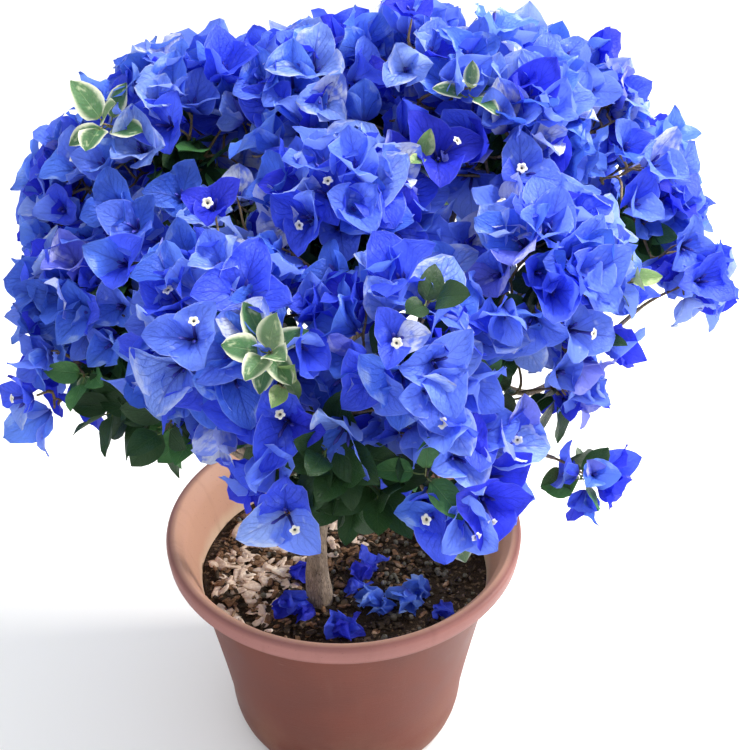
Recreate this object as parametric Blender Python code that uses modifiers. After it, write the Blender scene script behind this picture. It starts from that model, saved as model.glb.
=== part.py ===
"""A bougainvillea bush in a round plastic pot, as an assembly of solids.

Units are metres and +Z is up. The origin is the middle of the pot's flat underside.
The trunk stands a little off the middle of the pot. Boughs leave it one by one and
each ends where it enters its mass of foliage. A mass is a ball of the crown, cut flat
where it meets its neighbours, and everything in it keeps to that space: a stem, twigs
that grow from the nearest wood, and papery bracts in threes or leaves in fours.
"""
import math

import bmesh
import bpy
import numpy as np
from mathutils.bvhtree import BVHTree

GAP = 0.0003                # between neighbouring solids

# ---------- pot ----------
RIM_RADIUS = 0.155
POT_HEIGHT = 0.220
LIP_HEIGHT = 0.017
LIP_ROUND = 0.004           # radius of the lip's rolled edge
MOUTH_RADIUS = 0.1455       # inner edge of the lip
SHOULDER_RADIUS = 0.1375    # body just under the lip
WAIST_RADIUS = 0.109        # body where the foot starts to round in
WAIST_HEIGHT = 0.040
FOOT_RADIUS = 0.094         # flat underside
WALL = 0.003
FLOOR = 0.004
BODY_CURVE = 1.12           # power that draws the wall in a little between lip and foot
FACETS = 36                 # round the pot and its soil
DRAIN_COUNT = 4
DRAIN_RADIUS = 0.0045
DRAIN_CIRCLE = 0.066

# ---------- soil ----------
SOIL_LEVEL = 0.1665
SOIL_SWELL = 0.0022         # rise and fall of the surface
SOIL_RINGS = 4

# ---------- trunk ----------
FOOT_X, FOOT_Y = -0.021, -0.044
TRUNK_FLAT = 0.030          # soil kept level round the trunk
TRUNK_TOP = (0.016, -0.004, 0.425)
TRUNK_RADIUS = 0.0078
TRUNK_TIP_RADIUS = 0.0042
FLARE = 0.0030              # what the root flare adds at the soil
FLARE_HEIGHT = 0.012
TRUNK_POINTS = 12

# ---------- crown ----------
HEART = (0.020, 0.0, 0.430)  # middle of the crown
SPACE = 1.17                # a mass's space against its radius
SPLIT = 0.0008              # kept clear on each side of the cut between two masses
LIMB_CLEAR = 0.0036         # kept clear of trunk and boughs by twigs and leaves
TIP_SPACING = 0.0555         # between two twig tips on a mass
TIP_DEPTH = 0.60            # where twigs end, as a share of the radius
FACING = 0.0                # least a twig faces out of the crown, as a cosine
OUTWARD = 0.45              # how far clusters turn to face out of the crown
WOBBLE = 0.12
STEM_RADIUS = 0.0020
TWIG_RADIUS = 0.0015
TWIG_TIP_RADIUS = 0.0012
BLADES = {                  # blades in a cluster, how far they open, length and width
    "bract": (3, 68, 0.063, 0.052),
    "leaf": (4, 72, 0.060, 0.036),
}
BLADE_CUP = 0.16            # rise of a blade's sides against its width
BLADE_MIDDLE = 0.43         # where it is widest
HUB_THICKNESS = 0.0028
HUB_RADIUS = 0.0045         # of the notches between blades
CLUSTER_GUIDE = (0.37, 0.81, 0.45)
TURNS_TRIED = 7
CROSSINGS = 0               # blades of its mass that a blade may run through
FULL_MASS = 0.066           # masses smaller than this have smaller blades
SMALL_MASS_SIZE = 0.42      # share of the blade's size that doesn't follow the mass

# Each row: name, kind, bearing and climb in degrees from the heart, reach, radius,
# the limb that carries it, and how far along that limb its bough leaves.
MASSES = [
    ("left", "bract", 188, 8, 0.209, 0.070, "trunk", 0.50),
    ("right_back", "bract", 15, 14, 0.240, 0.069, "trunk", 0.55),
    ("front_left", "bract", 232, 21, 0.164, 0.070, "trunk", 0.60),
    ("back", "bract", 87, 13, 0.200, 0.082, "trunk", 0.60),
    ("front_right", "bract", 327, 27, 0.166, 0.070, "trunk", 0.65),
    ("back_left", "bract", 128, 11, 0.214, 0.078, "trunk", 0.68),
    ("back_right", "bract", 50, 10, 0.227, 0.078, "trunk", 0.73),
    ("front", "bract", 280, 22, 0.153, 0.067, "trunk", 0.74),
    ("upper_left", "bract", 158, 39, 0.207, 0.070, "trunk", 0.79),
    ("top_right", "bract", 17, 53, 0.175, 0.071, "trunk", 0.86),
    ("top_left", "bract", 126, 57, 0.172, 0.070, "trunk", 0.90),
    ("crown_top", "bract", 48, 69, 0.187, 0.058, "trunk", 0.95),
    ("top_centre", "bract", 243, 71, 0.105, 0.078, "trunk", 1.00),
    ("left_back", "bract", 163, 16, 0.236, 0.069, "left", 0.50),
    ("low_left", "bract", 200, -6, 0.240, 0.042, "left", 0.70),
    ("low_left_leaves", "leaf", 216, -8, 0.174, 0.045, "left", 0.35),
    ("front_hang_left", "bract", 253, -6, 0.168, 0.053, "front_left", 0.42),
    ("front_hang_right", "bract", 289, -7, 0.176, 0.058, "front_right", 0.35),
    ("low_front_leaves", "leaf", 270, -22, 0.119, 0.040, "trunk", 0.44),
    ("right_low", "bract", 328, -3, 0.169, 0.048, "front_right", 0.58),
    ("right_tip", "bract", 359, 7, 0.250, 0.046, "right_back", 0.60),
    ("top_right_tip", "bract", 25, 33, 0.238, 0.060, "right_back", 0.42),
    ("hanging_shoot", "bract", 329, -23, 0.213, 0.032, "right_low", 0.60),
    ("upper_back_right", "bract", 44, 36, 0.231, 0.062, "back_right", 0.50),
    ("top_back", "bract", 81, 46, 0.181, 0.070, "back", 0.40),
]
BOUGH_RADIUS = 0.0040       # where a bough leaves the trunk
SIDE_BOUGH_RADIUS = 0.0028  # where it leaves another bough
BOUGH_TAPER = 0.55          # its tip against its start
BOUGH_POINTS = 5
SEED = 41
ATTEMPTS = 8

COLOURS = {
    "plastic": (0.40, 0.17, 0.12, 1.0),
    "soil": (0.09, 0.055, 0.035, 1.0),
    "bark": (0.20, 0.145, 0.10, 1.0),
    "bract": (0.075, 0.095, 0.72, 1.0),
    "leaf": (0.045, 0.13, 0.035, 1.0),
}
ROUGHNESS = {"plastic": 0.45, "soil": 0.95, "bark": 0.85, "bract": 0.6, "leaf": 0.4}


# ---------- scene housekeeping ----------

def clear_scene():
    for item in list(bpy.data.objects):
        bpy.data.objects.remove(item, do_unlink=True)


def new_collection(name):
    group = bpy.data.collections.new(name)
    bpy.context.scene.collection.children.link(group)
    return group


def make_material(name):
    material = bpy.data.materials.new(name)
    material.use_nodes = True
    shader = material.node_tree.nodes["Principled BSDF"]
    shader.inputs["Base Color"].default_value = COLOURS[name]
    shader.inputs["Roughness"].default_value = ROUGHNESS[name]
    shader.inputs["Metallic"].default_value = 0.0
    material.diffuse_color = COLOURS[name]
    return material


def add_object(name, data, group, material=None):
    item = bpy.data.objects.new(name, data)
    group.objects.link(item)
    if material is not None:
        data.materials.clear()
        data.materials.append(material)
    return item


def evaluated_mesh(item):
    bpy.context.view_layer.update()
    graph = bpy.context.evaluated_depsgraph_get()
    return bpy.data.meshes.new_from_object(item.evaluated_get(graph))


def welded_mesh(item):
    """The object's evaluated mesh, with loose caps welded."""
    mesh = evaluated_mesh(item)
    work = bmesh.new()
    work.from_mesh(mesh)
    bmesh.ops.remove_doubles(work, verts=work.verts, dist=1e-6)
    work.to_mesh(mesh)
    work.free()
    return mesh


# ---------- turned pieces ----------

def turned(name, profile, facets, group, material):
    """A Screw of a profile of (radius, height) that runs down the outer side."""
    mesh = bpy.data.meshes.new(name)
    edges = [(i, i + 1) for i in range(len(profile) - 1)]
    mesh.from_pydata([(r, 0.0, z) for r, z in profile], edges, [])
    item = add_object(name, mesh, group, material)
    screw = item.modifiers.new("turn", "SCREW")
    screw.steps = facets
    screw.render_steps = facets
    screw.use_merge_vertices = True
    screw.merge_threshold = 0.00005
    screw.use_smooth_shade = True
    return item


def body_radius(height):
    """Outer radius of the pot's body: straight taper drawn in by a power curve."""
    shoulder = POT_HEIGHT - LIP_HEIGHT
    share = (height - WAIST_HEIGHT) / (shoulder - WAIST_HEIGHT)
    return WAIST_RADIUS + (SHOULDER_RADIUS - WAIST_RADIUS) * max(share, 0.0) ** BODY_CURVE


def foot_profile():
    """Outer side below the waist: a quarter ellipse down to the flat underside."""
    points = []
    for step in range(1, 5):
        angle = math.pi / 2 * step / 4
        radius = FOOT_RADIUS + (WAIST_RADIUS - FOOT_RADIUS) * math.cos(angle)
        points.append((radius, WAIST_HEIGHT * (1 - math.sin(angle))))
    return points


def body_profile():
    """Outer side from just under the lip down to the waist."""
    shoulder = POT_HEIGHT - LIP_HEIGHT
    heights = np.linspace(shoulder, WAIST_HEIGHT, 4)
    return [(body_radius(z), z) for z in heights]


def lip_profile():
    """The rolled lip, from the mouth over the rim to the underside of the lip."""
    top = POT_HEIGHT
    outer = RIM_RADIUS
    points = [(MOUTH_RADIUS, top - 0.0015), (MOUTH_RADIUS + 0.0015, top)]
    for step in range(3):
        angle = math.pi / 2 * step / 2
        points.append((outer - LIP_ROUND + LIP_ROUND * math.sin(angle),
                       top - LIP_ROUND + LIP_ROUND * math.cos(angle)))
    points.append((outer - 0.0012, top - LIP_HEIGHT))
    return points


def inner_radius(height):
    """Inner radius of the pot: the body less its wall, flaring to the mouth."""
    plain = body_radius(height) - WALL
    flare = max(0.0, (height - SOIL_LEVEL) / (POT_HEIGHT - SOIL_LEVEL))
    return plain + (MOUTH_RADIUS - 0.001 - body_radius(POT_HEIGHT) + WALL) * flare ** 2


def inner_profile():
    """Inside of the pot, from the middle of the floor up to the mouth."""
    floor_radius = FOOT_RADIUS - WALL
    points = [(0.0, FLOOR), (floor_radius, FLOOR)]
    points.append((WAIST_RADIUS - WALL - 0.002, WAIST_HEIGHT - 0.012))
    for z in np.linspace(WAIST_HEIGHT, POT_HEIGHT - 0.006, 5):
        points.append((inner_radius(z), z))
    return points


def build_pot(group, helpers):
    profile = inner_profile() + lip_profile() + body_profile() + foot_profile()
    profile.append((0.0, 0.0))
    pot = turned("pot", profile, FACETS, group, make_material("plastic"))
    for number in range(DRAIN_COUNT):
        angle = 2 * math.pi * (number + 0.5) / DRAIN_COUNT
        work = bmesh.new()
        bmesh.ops.create_cone(work, cap_ends=True, segments=12, radius1=DRAIN_RADIUS,
                              radius2=DRAIN_RADIUS, depth=4 * FLOOR)
        mesh = bpy.data.meshes.new("drain_cutter")
        work.to_mesh(mesh)
        work.free()
        cutter = add_object(f"drain_cutter_{number + 1}", mesh, helpers)
        cutter.location = (DRAIN_CIRCLE * math.cos(angle), DRAIN_CIRCLE * math.sin(angle), 0)
        cutter.hide_render = True
        cutter.display_type = "WIRE"
        cut = pot.modifiers.new("drain", "BOOLEAN")
        cut.operation = "DIFFERENCE"
        cut.object = cutter
    return pot


def soil_height(x, y):
    """Surface of the soil: slow waves, faded out round the trunk and at the wall."""
    waves = math.sin(41 * x + 9 * y + 1.1) + math.sin(-17 * x + 47 * y + 0.4)
    waves += 0.7 * math.sin(83 * x + 61 * y)
    away = math.hypot(x - FOOT_X, y - FOOT_Y)
    fade = min(1.0, max(0.0, (away - TRUNK_FLAT) / TRUNK_FLAT))
    return SOIL_LEVEL + SOIL_SWELL * waves / 2.7 * fade


def build_soil(group):
    side = inner_radius(SOIL_LEVEL) - GAP
    profile = [(side * ring / SOIL_RINGS, SOIL_LEVEL) for ring in range(SOIL_RINGS + 1)]
    for z in np.linspace(SOIL_LEVEL - 0.006, WAIST_HEIGHT, 3):
        profile.append((inner_radius(z) - 2 * GAP, z))
    profile.append((WAIST_RADIUS - WALL - 0.002 - 2 * GAP, WAIST_HEIGHT - 0.012))
    profile.append((FOOT_RADIUS - WALL - 0.001, FLOOR + GAP))
    profile.append((0.0, FLOOR + GAP))
    soil = turned("soil", profile, FACETS, group, make_material("soil"))
    mesh = welded_mesh(soil)
    rim = side - 0.001
    for vertex in mesh.vertices:
        x, y, z = vertex.co
        if z > SOIL_LEVEL - 0.001 and math.hypot(x, y) < rim:
            vertex.co.z = soil_height(x, y)
    soil.modifiers.clear()
    soil.data = mesh
    return soil


# ---------- limbs ----------

def unit(vector):
    vector = np.asarray(vector, float)
    return vector / max(float(np.linalg.norm(vector)), 1e-12)


def bend(start, heading, end, arrival, count, pull=0.38):
    """A cubic curve that leaves along heading and comes in along arrival."""
    start, end = np.asarray(start, float), np.asarray(end, float)
    span = float(np.linalg.norm(end - start)) * pull
    first, second = start + unit(heading) * span, end - unit(arrival) * span
    t = np.linspace(0.0, 1.0, count)[:, None]
    return ((1 - t) ** 3 * start + 3 * t * (1 - t) ** 2 * first
            + 3 * t ** 2 * (1 - t) * second + t ** 3 * end)


def along(limb, share):
    """Point, direction and radius of a limb at a share of its length."""
    points, radii = limb
    place = share * (len(points) - 1)
    index = min(int(place), len(points) - 2)
    rest = place - index
    point = points[index] * (1 - rest) + points[index + 1] * rest
    radius = radii[index] * (1 - rest) + radii[index + 1] * rest
    return point, unit(points[index + 1] - points[index]), radius


def trunk_limb():
    """Upright at the soil, then leaning in to the middle of the crown."""
    start = np.array([FOOT_X, FOOT_Y, SOIL_LEVEL + GAP])
    path = bend(start, (-0.10, 0.0, 1.0), TRUNK_TOP, (0.1, 0.15, 1.0), TRUNK_POINTS - 1)
    collar = start + np.array([0.0, 0.0, FLARE_HEIGHT * 0.45])
    points = np.vstack([start, collar, path[1:]])
    rise = points[:, 2] - start[2]
    share = rise / rise[-1]
    radii = TRUNK_RADIUS + (TRUNK_TIP_RADIUS - TRUNK_RADIUS) * share
    radii = radii + FLARE * np.exp(-rise / (FLARE_HEIGHT * 0.6))
    return points, radii


def mass_centre(row):
    _, _, bearing, climb, reach = row[:5]
    bearing, climb = math.radians(bearing), math.radians(climb)
    flat = reach * math.cos(climb)
    return np.array(HEART) + np.array([flat * math.cos(bearing), flat * math.sin(bearing),
                                       reach * math.sin(climb)])


def mass_spaces():
    """For each mass its centre, radius and the planes that part it from the others."""
    centres = {row[0]: mass_centre(row) for row in MASSES}
    radii = {row[0]: row[5] for row in MASSES}
    spaces = {}
    for name, centre in centres.items():
        normals, limits = [], []
        for other, far in centres.items():
            away = float(np.linalg.norm(far - centre))
            if other != name and away < SPACE * (radii[name] + radii[other]) + 2 * SPLIT:
                normals.append((far - centre) / away)
                limits.append((away ** 2 + radii[name] ** 2 - radii[other] ** 2) / (2 * away))
        spaces[name] = (centre, radii[name], np.array(normals).reshape(-1, 3),
                        np.array(limits))
    return spaces


def depth_inside(space, points):
    """Least distance from the points to the mass's border, negative outside."""
    centre, radius, normals, limits = space
    offset = np.atleast_2d(points) - centre
    depth = SPACE * radius - np.linalg.norm(offset, axis=1)
    if len(normals):
        depth = np.minimum(depth, (limits - SPLIT - offset @ normals.T).min(axis=1))
    return float(depth.min())


def bough_limb(space, parent, share, side_bough):
    """Leaves its parent square to it and ends where it enters the mass.

    A bough that leans as it leaves is moved out until its tilted end clears the parent.
    """
    centre, radius = space[:2]
    point, direction, thick = along(parent, share)
    out = unit((centre - point) - np.dot(centre - point, direction) * direction)
    start_radius = SIDE_BOUGH_RADIUS if side_bough else BOUGH_RADIUS
    lift = 0.0
    for _ in range(3):
        start = point + out * (thick + GAP * 1.5 + lift)
        for back in np.linspace(0.95, 0.30, 27):
            end = centre + unit(start - centre) * radius * back
            if depth_inside(space, end) > 0.004:
                break
        path = bend(start, out, end, unit(centre - start) + np.array([0, 0, 0.25]), BOUGH_POINTS)
        lean = np.dot(unit(path[1] - path[0]), out)
        lift = start_radius * math.sqrt(max(0.0, 1.0 - lean ** 2))
    return path, start_radius * np.linspace(1.0, BOUGH_TAPER, BOUGH_POINTS)


def plan_limbs(spaces):
    """Trunk and boughs as paths with radii; a mass on the trunk's tip has no bough."""
    limbs = {"trunk": trunk_limb()}
    for name, _, _, _, _, _, parent, share in MASSES:
        if share < 1.0:
            limbs[name] = bough_limb(spaces[name], limbs[parent], share, parent != "trunk")
    return limbs


def build_limb(name, limb, sides, group, material):
    points, radii = limb
    curve = bpy.data.curves.new(name, "CURVE")
    curve.dimensions = "3D"
    curve.bevel_depth = 1.0
    curve.bevel_resolution = (sides - 4) // 2
    curve.use_fill_caps = True
    spline = curve.splines.new("POLY")
    spline.points.add(len(points) - 1)
    for spot, point, radius in zip(spline.points, points, radii):
        spot.co = (*point, 1.0)
        spot.radius = radius
    item = add_object(name, curve, group, material)
    mesh = welded_mesh(item)
    bpy.data.objects.remove(item, do_unlink=True)
    solid = add_object(name, mesh, group, material)
    mesh.shade_smooth()
    mesh.set_sharp_from_angle(angle=math.radians(50))
    return solid


# ---------- foliage ----------

def golden_directions(count, turn):
    """Even directions on a ball, by the golden angle, started at a turn."""
    index = np.arange(count) + 0.5
    height = 1 - 2 * index / count
    flat = np.sqrt(1 - height ** 2)
    angle = index * math.pi * (3 - math.sqrt(5)) + turn
    return np.stack([flat * np.cos(angle), flat * np.sin(angle), height], axis=1)


def limb_distance(points, limbs):
    """Least distance from the points to the surface of any limb."""
    points = np.atleast_2d(points)
    nearest = np.full(len(points), np.inf)
    for path, radii in limbs.values():
        for head, tail, thick in zip(path[:-1], path[1:], radii[:-1]):
            run = tail - head
            share = np.clip((points - head) @ run / (run @ run), 0.0, 1.0)
            gap = np.linalg.norm(points - head - share[:, None] * run, axis=1) - thick
            nearest = np.minimum(nearest, gap)
    return float(nearest.min())


def blade(hub, axis, way, length, width):
    """The three free corners of a bract or leaf: its right edge, its tip and its left edge."""
    side = unit(np.cross(axis, way))
    raised = np.cross(way, side) * width * BLADE_CUP
    middle = hub + way * length * BLADE_MIDDLE + raised
    tip = hub + way * length + raised * 0.4
    return np.array([middle - side * width / 2, tip, middle + side * width / 2])


def blade_samples(hub, corners):
    """Points spread over a blade: rows from the hub and from the tip to the edges."""
    right, tip, left = corners
    rows = []
    for share in (0.25, 0.5, 0.75, 1.0):
        rows.append(np.linspace(hub + (left - hub) * share, hub + (right - hub) * share, 5))
        rows.append(np.linspace(tip + (left - tip) * share, tip + (right - tip) * share, 5))
    return np.vstack(rows)


def blade_tree(hub, corners):
    """The blade without the stretch next to its hub, for finding blades that cross."""
    right, tip, left = corners
    near = [hub + (corner - hub) * 0.3 for corner in (right, left)]
    return BVHTree.FromPolygons([tuple(c) for c in (right, tip, left, near[1], near[0])],
                                [(0, 1, 2), (0, 2, 3), (0, 3, 4)])


def fitting_blades(kind, hub, axis, turn, size, rng, space, limbs, standing):
    """Blades round a hub; each shrinks until it fits, and one that never fits is skipped."""
    count, opening, length, width = BLADES[kind]
    side = unit(np.cross(axis, CLUSTER_GUIDE))
    other = np.cross(axis, side)
    kept = []
    for number in range(count):
        angle = turn + 2 * math.pi * number / count + rng.uniform(-0.08, 0.08)
        open_by = math.radians(opening + rng.uniform(-12, 12))
        grown = size * rng.uniform(0.9, 1.1)
        across = side * math.cos(angle) + other * math.sin(angle)
        way = axis * math.cos(open_by) + across * math.sin(open_by)
        for shrink in (1.0, 0.86, 0.72, 0.58):
            scale = grown * shrink
            corners = blade(hub, axis, way, length * scale, width * scale)
            if depth_inside(space, corners) < 0:
                continue
            if limb_distance(blade_samples(hub, corners), limbs) < LIMB_CLEAR:
                continue
            tree = blade_tree(hub, corners)
            crossed = sum(bool(tree.overlap(old)) for old in standing)
            if crossed <= CROSSINGS:
                kept.append((angle, scale, corners, tree))
                break
    return kept


def cluster(kind, hub, axis, rng, space, limbs, standing):
    """The turn of the cluster, out of a few tried, that keeps most blade."""
    size = min(1.0, SMALL_MASS_SIZE + (1 - SMALL_MASS_SIZE) * space[1] / FULL_MASS)
    best = []
    for _ in range(TURNS_TRIED):
        turn = rng.uniform(0, 2 * math.pi)
        kept = fitting_blades(kind, hub, axis, turn, size, rng, space, limbs, standing)
        if sum(item[1] for item in kept) > sum(item[1] for item in best):
            best = kept
    return best


def ring(point, way, guide, radius):
    """Three corners of a twig's section, square to its way, the first on the guide's side."""
    side = unit(guide - np.dot(guide, way) * way)
    other = np.cross(way, side)
    angles = 2 * math.pi * np.arange(3) / 3
    return point + radius * (np.cos(angles)[:, None] * side + np.sin(angles)[:, None] * other)


def tube_faces(rings):
    """Sides between rings of three corners, and the cap on the first ring."""
    faces = [(2, 1, 0)]
    for low in range(0, 3 * (rings - 1), 3):
        for corner in range(3):
            a, b = low + corner, low + (corner + 1) % 3
            faces += [(a, b, b + 3), (a, b + 3, a + 3)]
    return faces


def twig(path, radii):
    """A three-sided twig: a triangle carried along the path, closed at both ends."""
    ways = np.gradient(path, axis=0)
    guide = np.cross(ways[0], (0.31, 0.17, 0.93))
    verts = [ring(point, unit(way), guide, radius)
             for point, way, radius in zip(path, ways, radii)]
    last = 3 * (len(path) - 1)
    return np.vstack(verts), tube_faces(len(path)) + [(last, last + 1, last + 2)]


def outline_of(hub, axis, side, kept):
    """Round the cluster: right edge, tip and left edge of each blade, then a notch.

    A notch rises as steeply from the hub as the edges beside it, so no face folds there.
    """
    other = np.cross(axis, side)
    points = []
    for index, (angle, _, corners, _) in enumerate(kept):
        following = kept[(index + 1) % len(kept)]
        lap = 2 * math.pi if index == len(kept) - 1 else 0.0
        half = (angle + following[0] + lap) / 2
        beside = np.array([corners[2], following[2][0]]) - hub
        rise = beside @ axis
        steep = np.mean(rise / np.linalg.norm(beside - np.outer(rise, axis), axis=1))
        notch = side * math.cos(half) + other * math.sin(half) + axis * steep
        points += [*corners, hub + HUB_RADIUS * notch]
    return np.array(points)


def bridge(outer_angles, inner_angles, outer_first, inner_first):
    """Triangles between two rings that turn the same way, each step at the next angle."""
    faces = []
    outer, inner = 0, 0
    while outer < len(outer_angles) or inner < len(inner_angles):
        a = outer_first + outer % len(outer_angles)
        b = inner_first + inner % len(inner_angles)
        next_outer = math.inf if outer == len(outer_angles) else outer_angles[outer]
        next_inner = math.inf if inner == len(inner_angles) else inner_angles[inner]
        if next_outer <= next_inner:
            outer += 1
            faces.append((b, outer_first + outer % len(outer_angles), a))
        else:
            inner += 1
            faces.append((a, b, inner_first + inner % len(inner_angles)))
    return faces


def spray(path, hub, axis, kept):
    """One closed solid: a three-sided twig that opens into bracts or leaves at its end.

    The blades share a hub. Their outline is joined by a fan to a point above the hub and
    by a bridge to the twig's last ring below it, so each is thickest at its root.
    """
    side = unit(np.cross(axis, CLUSTER_GUIDE))
    other = np.cross(axis, side)
    ways = np.gradient(path, axis=0)
    rings = [ring(path[0], unit(ways[0]), side, TWIG_RADIUS / 2),
             ring(path[1], unit(ways[1]), side, TWIG_RADIUS)]
    rings.append(ring(hub - axis * HUB_THICKNESS / 2, axis, side, TWIG_TIP_RADIUS))
    outline = outline_of(hub, axis, side, kept)
    offset = outline - hub
    turned_by = (np.arctan2(offset @ other, offset @ side) + math.pi / 3) % (2 * math.pi)
    order = np.argsort(turned_by)
    outline, turned_by = outline[order], turned_by[order]
    outer_first = 3 * len(rings)
    top = outer_first + len(outline)
    verts = np.vstack([*rings, outline, hub + axis * HUB_THICKNESS / 2])
    faces = tube_faces(len(rings))
    faces += bridge(np.append(turned_by[1:], turned_by[0] + 2 * math.pi),
                    2 * math.pi * np.arange(1, 4) / 3, outer_first, outer_first - 3)
    for index in range(len(outline)):
        following = (index + 1) % len(outline)
        faces.append((top, outer_first + index, outer_first + following))
    return verts, faces


def stem_path(space, limb):
    """From just clear of the bough's tip on to a little past the middle of the mass."""
    centre, radius = space[:2]
    tip, way, _ = along(limb, 1.0)
    start = tip + way * GAP
    end = centre + unit(centre - start) * radius * 0.12
    path = bend(start, way, end, centre - start, 4)
    lean = np.dot(unit(path[1] - path[0]), way)
    path[0] += way * STEM_RADIUS * math.sqrt(max(0.0, 1.0 - lean ** 2))
    return path


def twig_tips(space, turn, rng):
    """Ends of the twigs: even directions whose ends keep inside the mass's own space."""
    centre, radius = space[:2]
    count = max(7, round(4 * math.pi * radius ** 2 / TIP_SPACING ** 2))
    tips = []
    for way in golden_directions(count, turn):
        share = TIP_DEPTH * rng.uniform(0.9, 1.15)
        tip = centre + way * radius * share
        outward = unit(tip - np.array(HEART))
        reach = centre + way * radius * 0.85
        if depth_inside(space, reach) > 0.0 and np.dot(way, outward) > FACING:
            tilt = OUTWARD * outward + WOBBLE * rng.normal(size=3)
            tips.append((tip, unit(way + tilt)))
    return tips


def spot_on(path, share):
    """A point on a path and the way the path runs there."""
    place = share * (len(path) - 1)
    index = min(int(place), len(path) - 2)
    run = path[index + 1] - path[index]
    return path[index] + run * (place - index), unit(run)


def crosses(path, standing):
    """Whether a path runs through anything that already stands in its mass."""
    for head, tail in zip(path[:-1], path[1:]):
        run = tail - head
        reach = float(np.linalg.norm(run))
        if any(tree.ray_cast(head, run, reach)[0] is not None for tree in standing):
            return True
    return False


def twig_path(hub, axis, wood, standing):
    """From the nearest free wood to the hub, by the first way that crosses nothing."""
    costs = [np.linalg.norm(hub - point) * (1.35 - 0.35 * np.dot(unit(hub - point), way))
             for point, way in wood]
    choices = []
    for index in np.argsort(costs)[:4]:
        point, way = wood[index]
        ahead = unit(hub - point)
        path = bend(point, way + ahead, hub - axis * HUB_THICKNESS / 2, axis + ahead, 3)
        if not crosses(path[1:], standing):
            return index, path
        choices.append((index, path))
    return choices[0]


def grow_mass(kind, space, limb, limbs, rng):
    """Grow twigs to their tips, each from the nearest wood that already stands."""
    stem = stem_path(space, limb)
    wood = [spot_on(stem, share) for share in (0.3, 0.45, 0.6, 0.75, 0.9, 0.98)]
    solids = [twig(stem, np.linspace(STEM_RADIUS, TWIG_RADIUS, len(stem)))]
    standing = []
    tips = twig_tips(space, rng.uniform(0, 2 * math.pi), rng)
    tips.sort(key=lambda tip: float(np.linalg.norm(tip[0] - stem[1])))
    for hub, axis in tips:
        index, path = twig_path(hub, axis, wood, standing)
        clear = limb_distance(path[1:], limbs) > LIMB_CLEAR
        if clear and depth_inside(space, path) > TWIG_RADIUS:
            kept = cluster(kind, hub, axis, rng, space, limbs, standing)
            if kept:
                solids.append(spray(path, hub, axis, kept))
                wood.pop(index)
                wood += [spot_on(path, share) for share in (0.45, 0.65, 0.82)]
                standing += [item[3] for item in kept]
    return solids


def loose_mesh(name, verts, faces):
    mesh = bpy.data.meshes.new(name)
    mesh.from_pydata([tuple(v) for v in verts], [], faces)
    mesh.update()
    return mesh


def keep_main_body(mesh):
    """Drop loose scraps and fill sealed hollows: only the largest shell stays."""
    work = bmesh.new()
    work.from_mesh(mesh)
    bmesh.ops.triangulate(work, faces=work.faces)
    left = set(work.faces)
    shells = []
    while left:
        shell, edge = set(), [left.pop()]
        while edge:
            face = edge.pop()
            shell.add(face)
            for line in face.edges:
                for near in line.link_faces:
                    if near in left:
                        left.discard(near)
                        edge.append(near)
        shells.append(shell)
    shells.sort(key=len, reverse=True)
    for shell in shells[1:]:
        bmesh.ops.delete(work, geom=list(shell), context="FACES")
    bmesh.ops.delete(work, geom=[v for v in work.verts if not v.link_faces], context="VERTS")
    work.to_mesh(mesh)
    work.free()


def is_closed(mesh):
    work = bmesh.new()
    work.from_mesh(mesh)
    closed = all(len(edge.link_faces) == 2 for edge in work.edges)
    work.free()
    return closed and len(mesh.polygons) > 0


def fused_mesh(solids, solver):
    """One Boolean union of the stem with every spray, applied, as a mesh of triangles."""
    joined = new_collection("joined")
    stem = add_object("stem", loose_mesh("stem", *solids[0]), bpy.context.scene.collection)
    for verts, faces in solids[1:]:
        add_object("spray", loose_mesh("spray", verts, faces), joined)
    union = stem.modifiers.new("fuse", "BOOLEAN")
    union.operation = "UNION"
    union.operand_type = "COLLECTION"
    union.collection = joined
    union.solver = solver
    mesh = evaluated_mesh(stem)
    for item in [stem, *joined.objects]:
        bpy.data.objects.remove(item, do_unlink=True)
    bpy.data.collections.remove(joined)
    keep_main_body(mesh)
    return mesh


def build_foliage(number, spaces, limbs, group, material):
    """Grow a mass and fuse it; a growth that doesn't fuse into one body is grown anew."""
    name, kind = MASSES[number][:2]
    carrier = limbs.get(name, limbs["trunk"])
    for attempt in range(ATTEMPTS):
        rng = np.random.default_rng((SEED, number, attempt))
        solids = grow_mass(kind, spaces[name], carrier, limbs, rng)
        for solver in ("EXACT", "MANIFOLD"):
            mesh = fused_mesh(solids, solver)
            if is_closed(mesh):
                return add_object(f"foliage_{name}", mesh, group, material)
    raise RuntimeError(f"foliage_{name} doesn't fuse into one closed body")


# ---------- the whole plant ----------

def build():
    clear_scene()
    group = new_collection("bougainvillea_bush")
    helpers = new_collection("cutters")
    build_pot(group, helpers)
    build_soil(group)
    spaces = mass_spaces()
    limbs = plan_limbs(spaces)
    bark = make_material("bark")
    greens = {"bract": make_material("bract"), "leaf": make_material("leaf")}
    for name, limb in limbs.items():
        label = name if name == "trunk" else f"bough_{name}"
        build_limb(label, limb, 10 if name == "trunk" else 6, group, bark)
    for number, row in enumerate(MASSES):
        build_foliage(number, spaces, limbs, group, greens[row[1]])


build()
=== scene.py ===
import math

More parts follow.
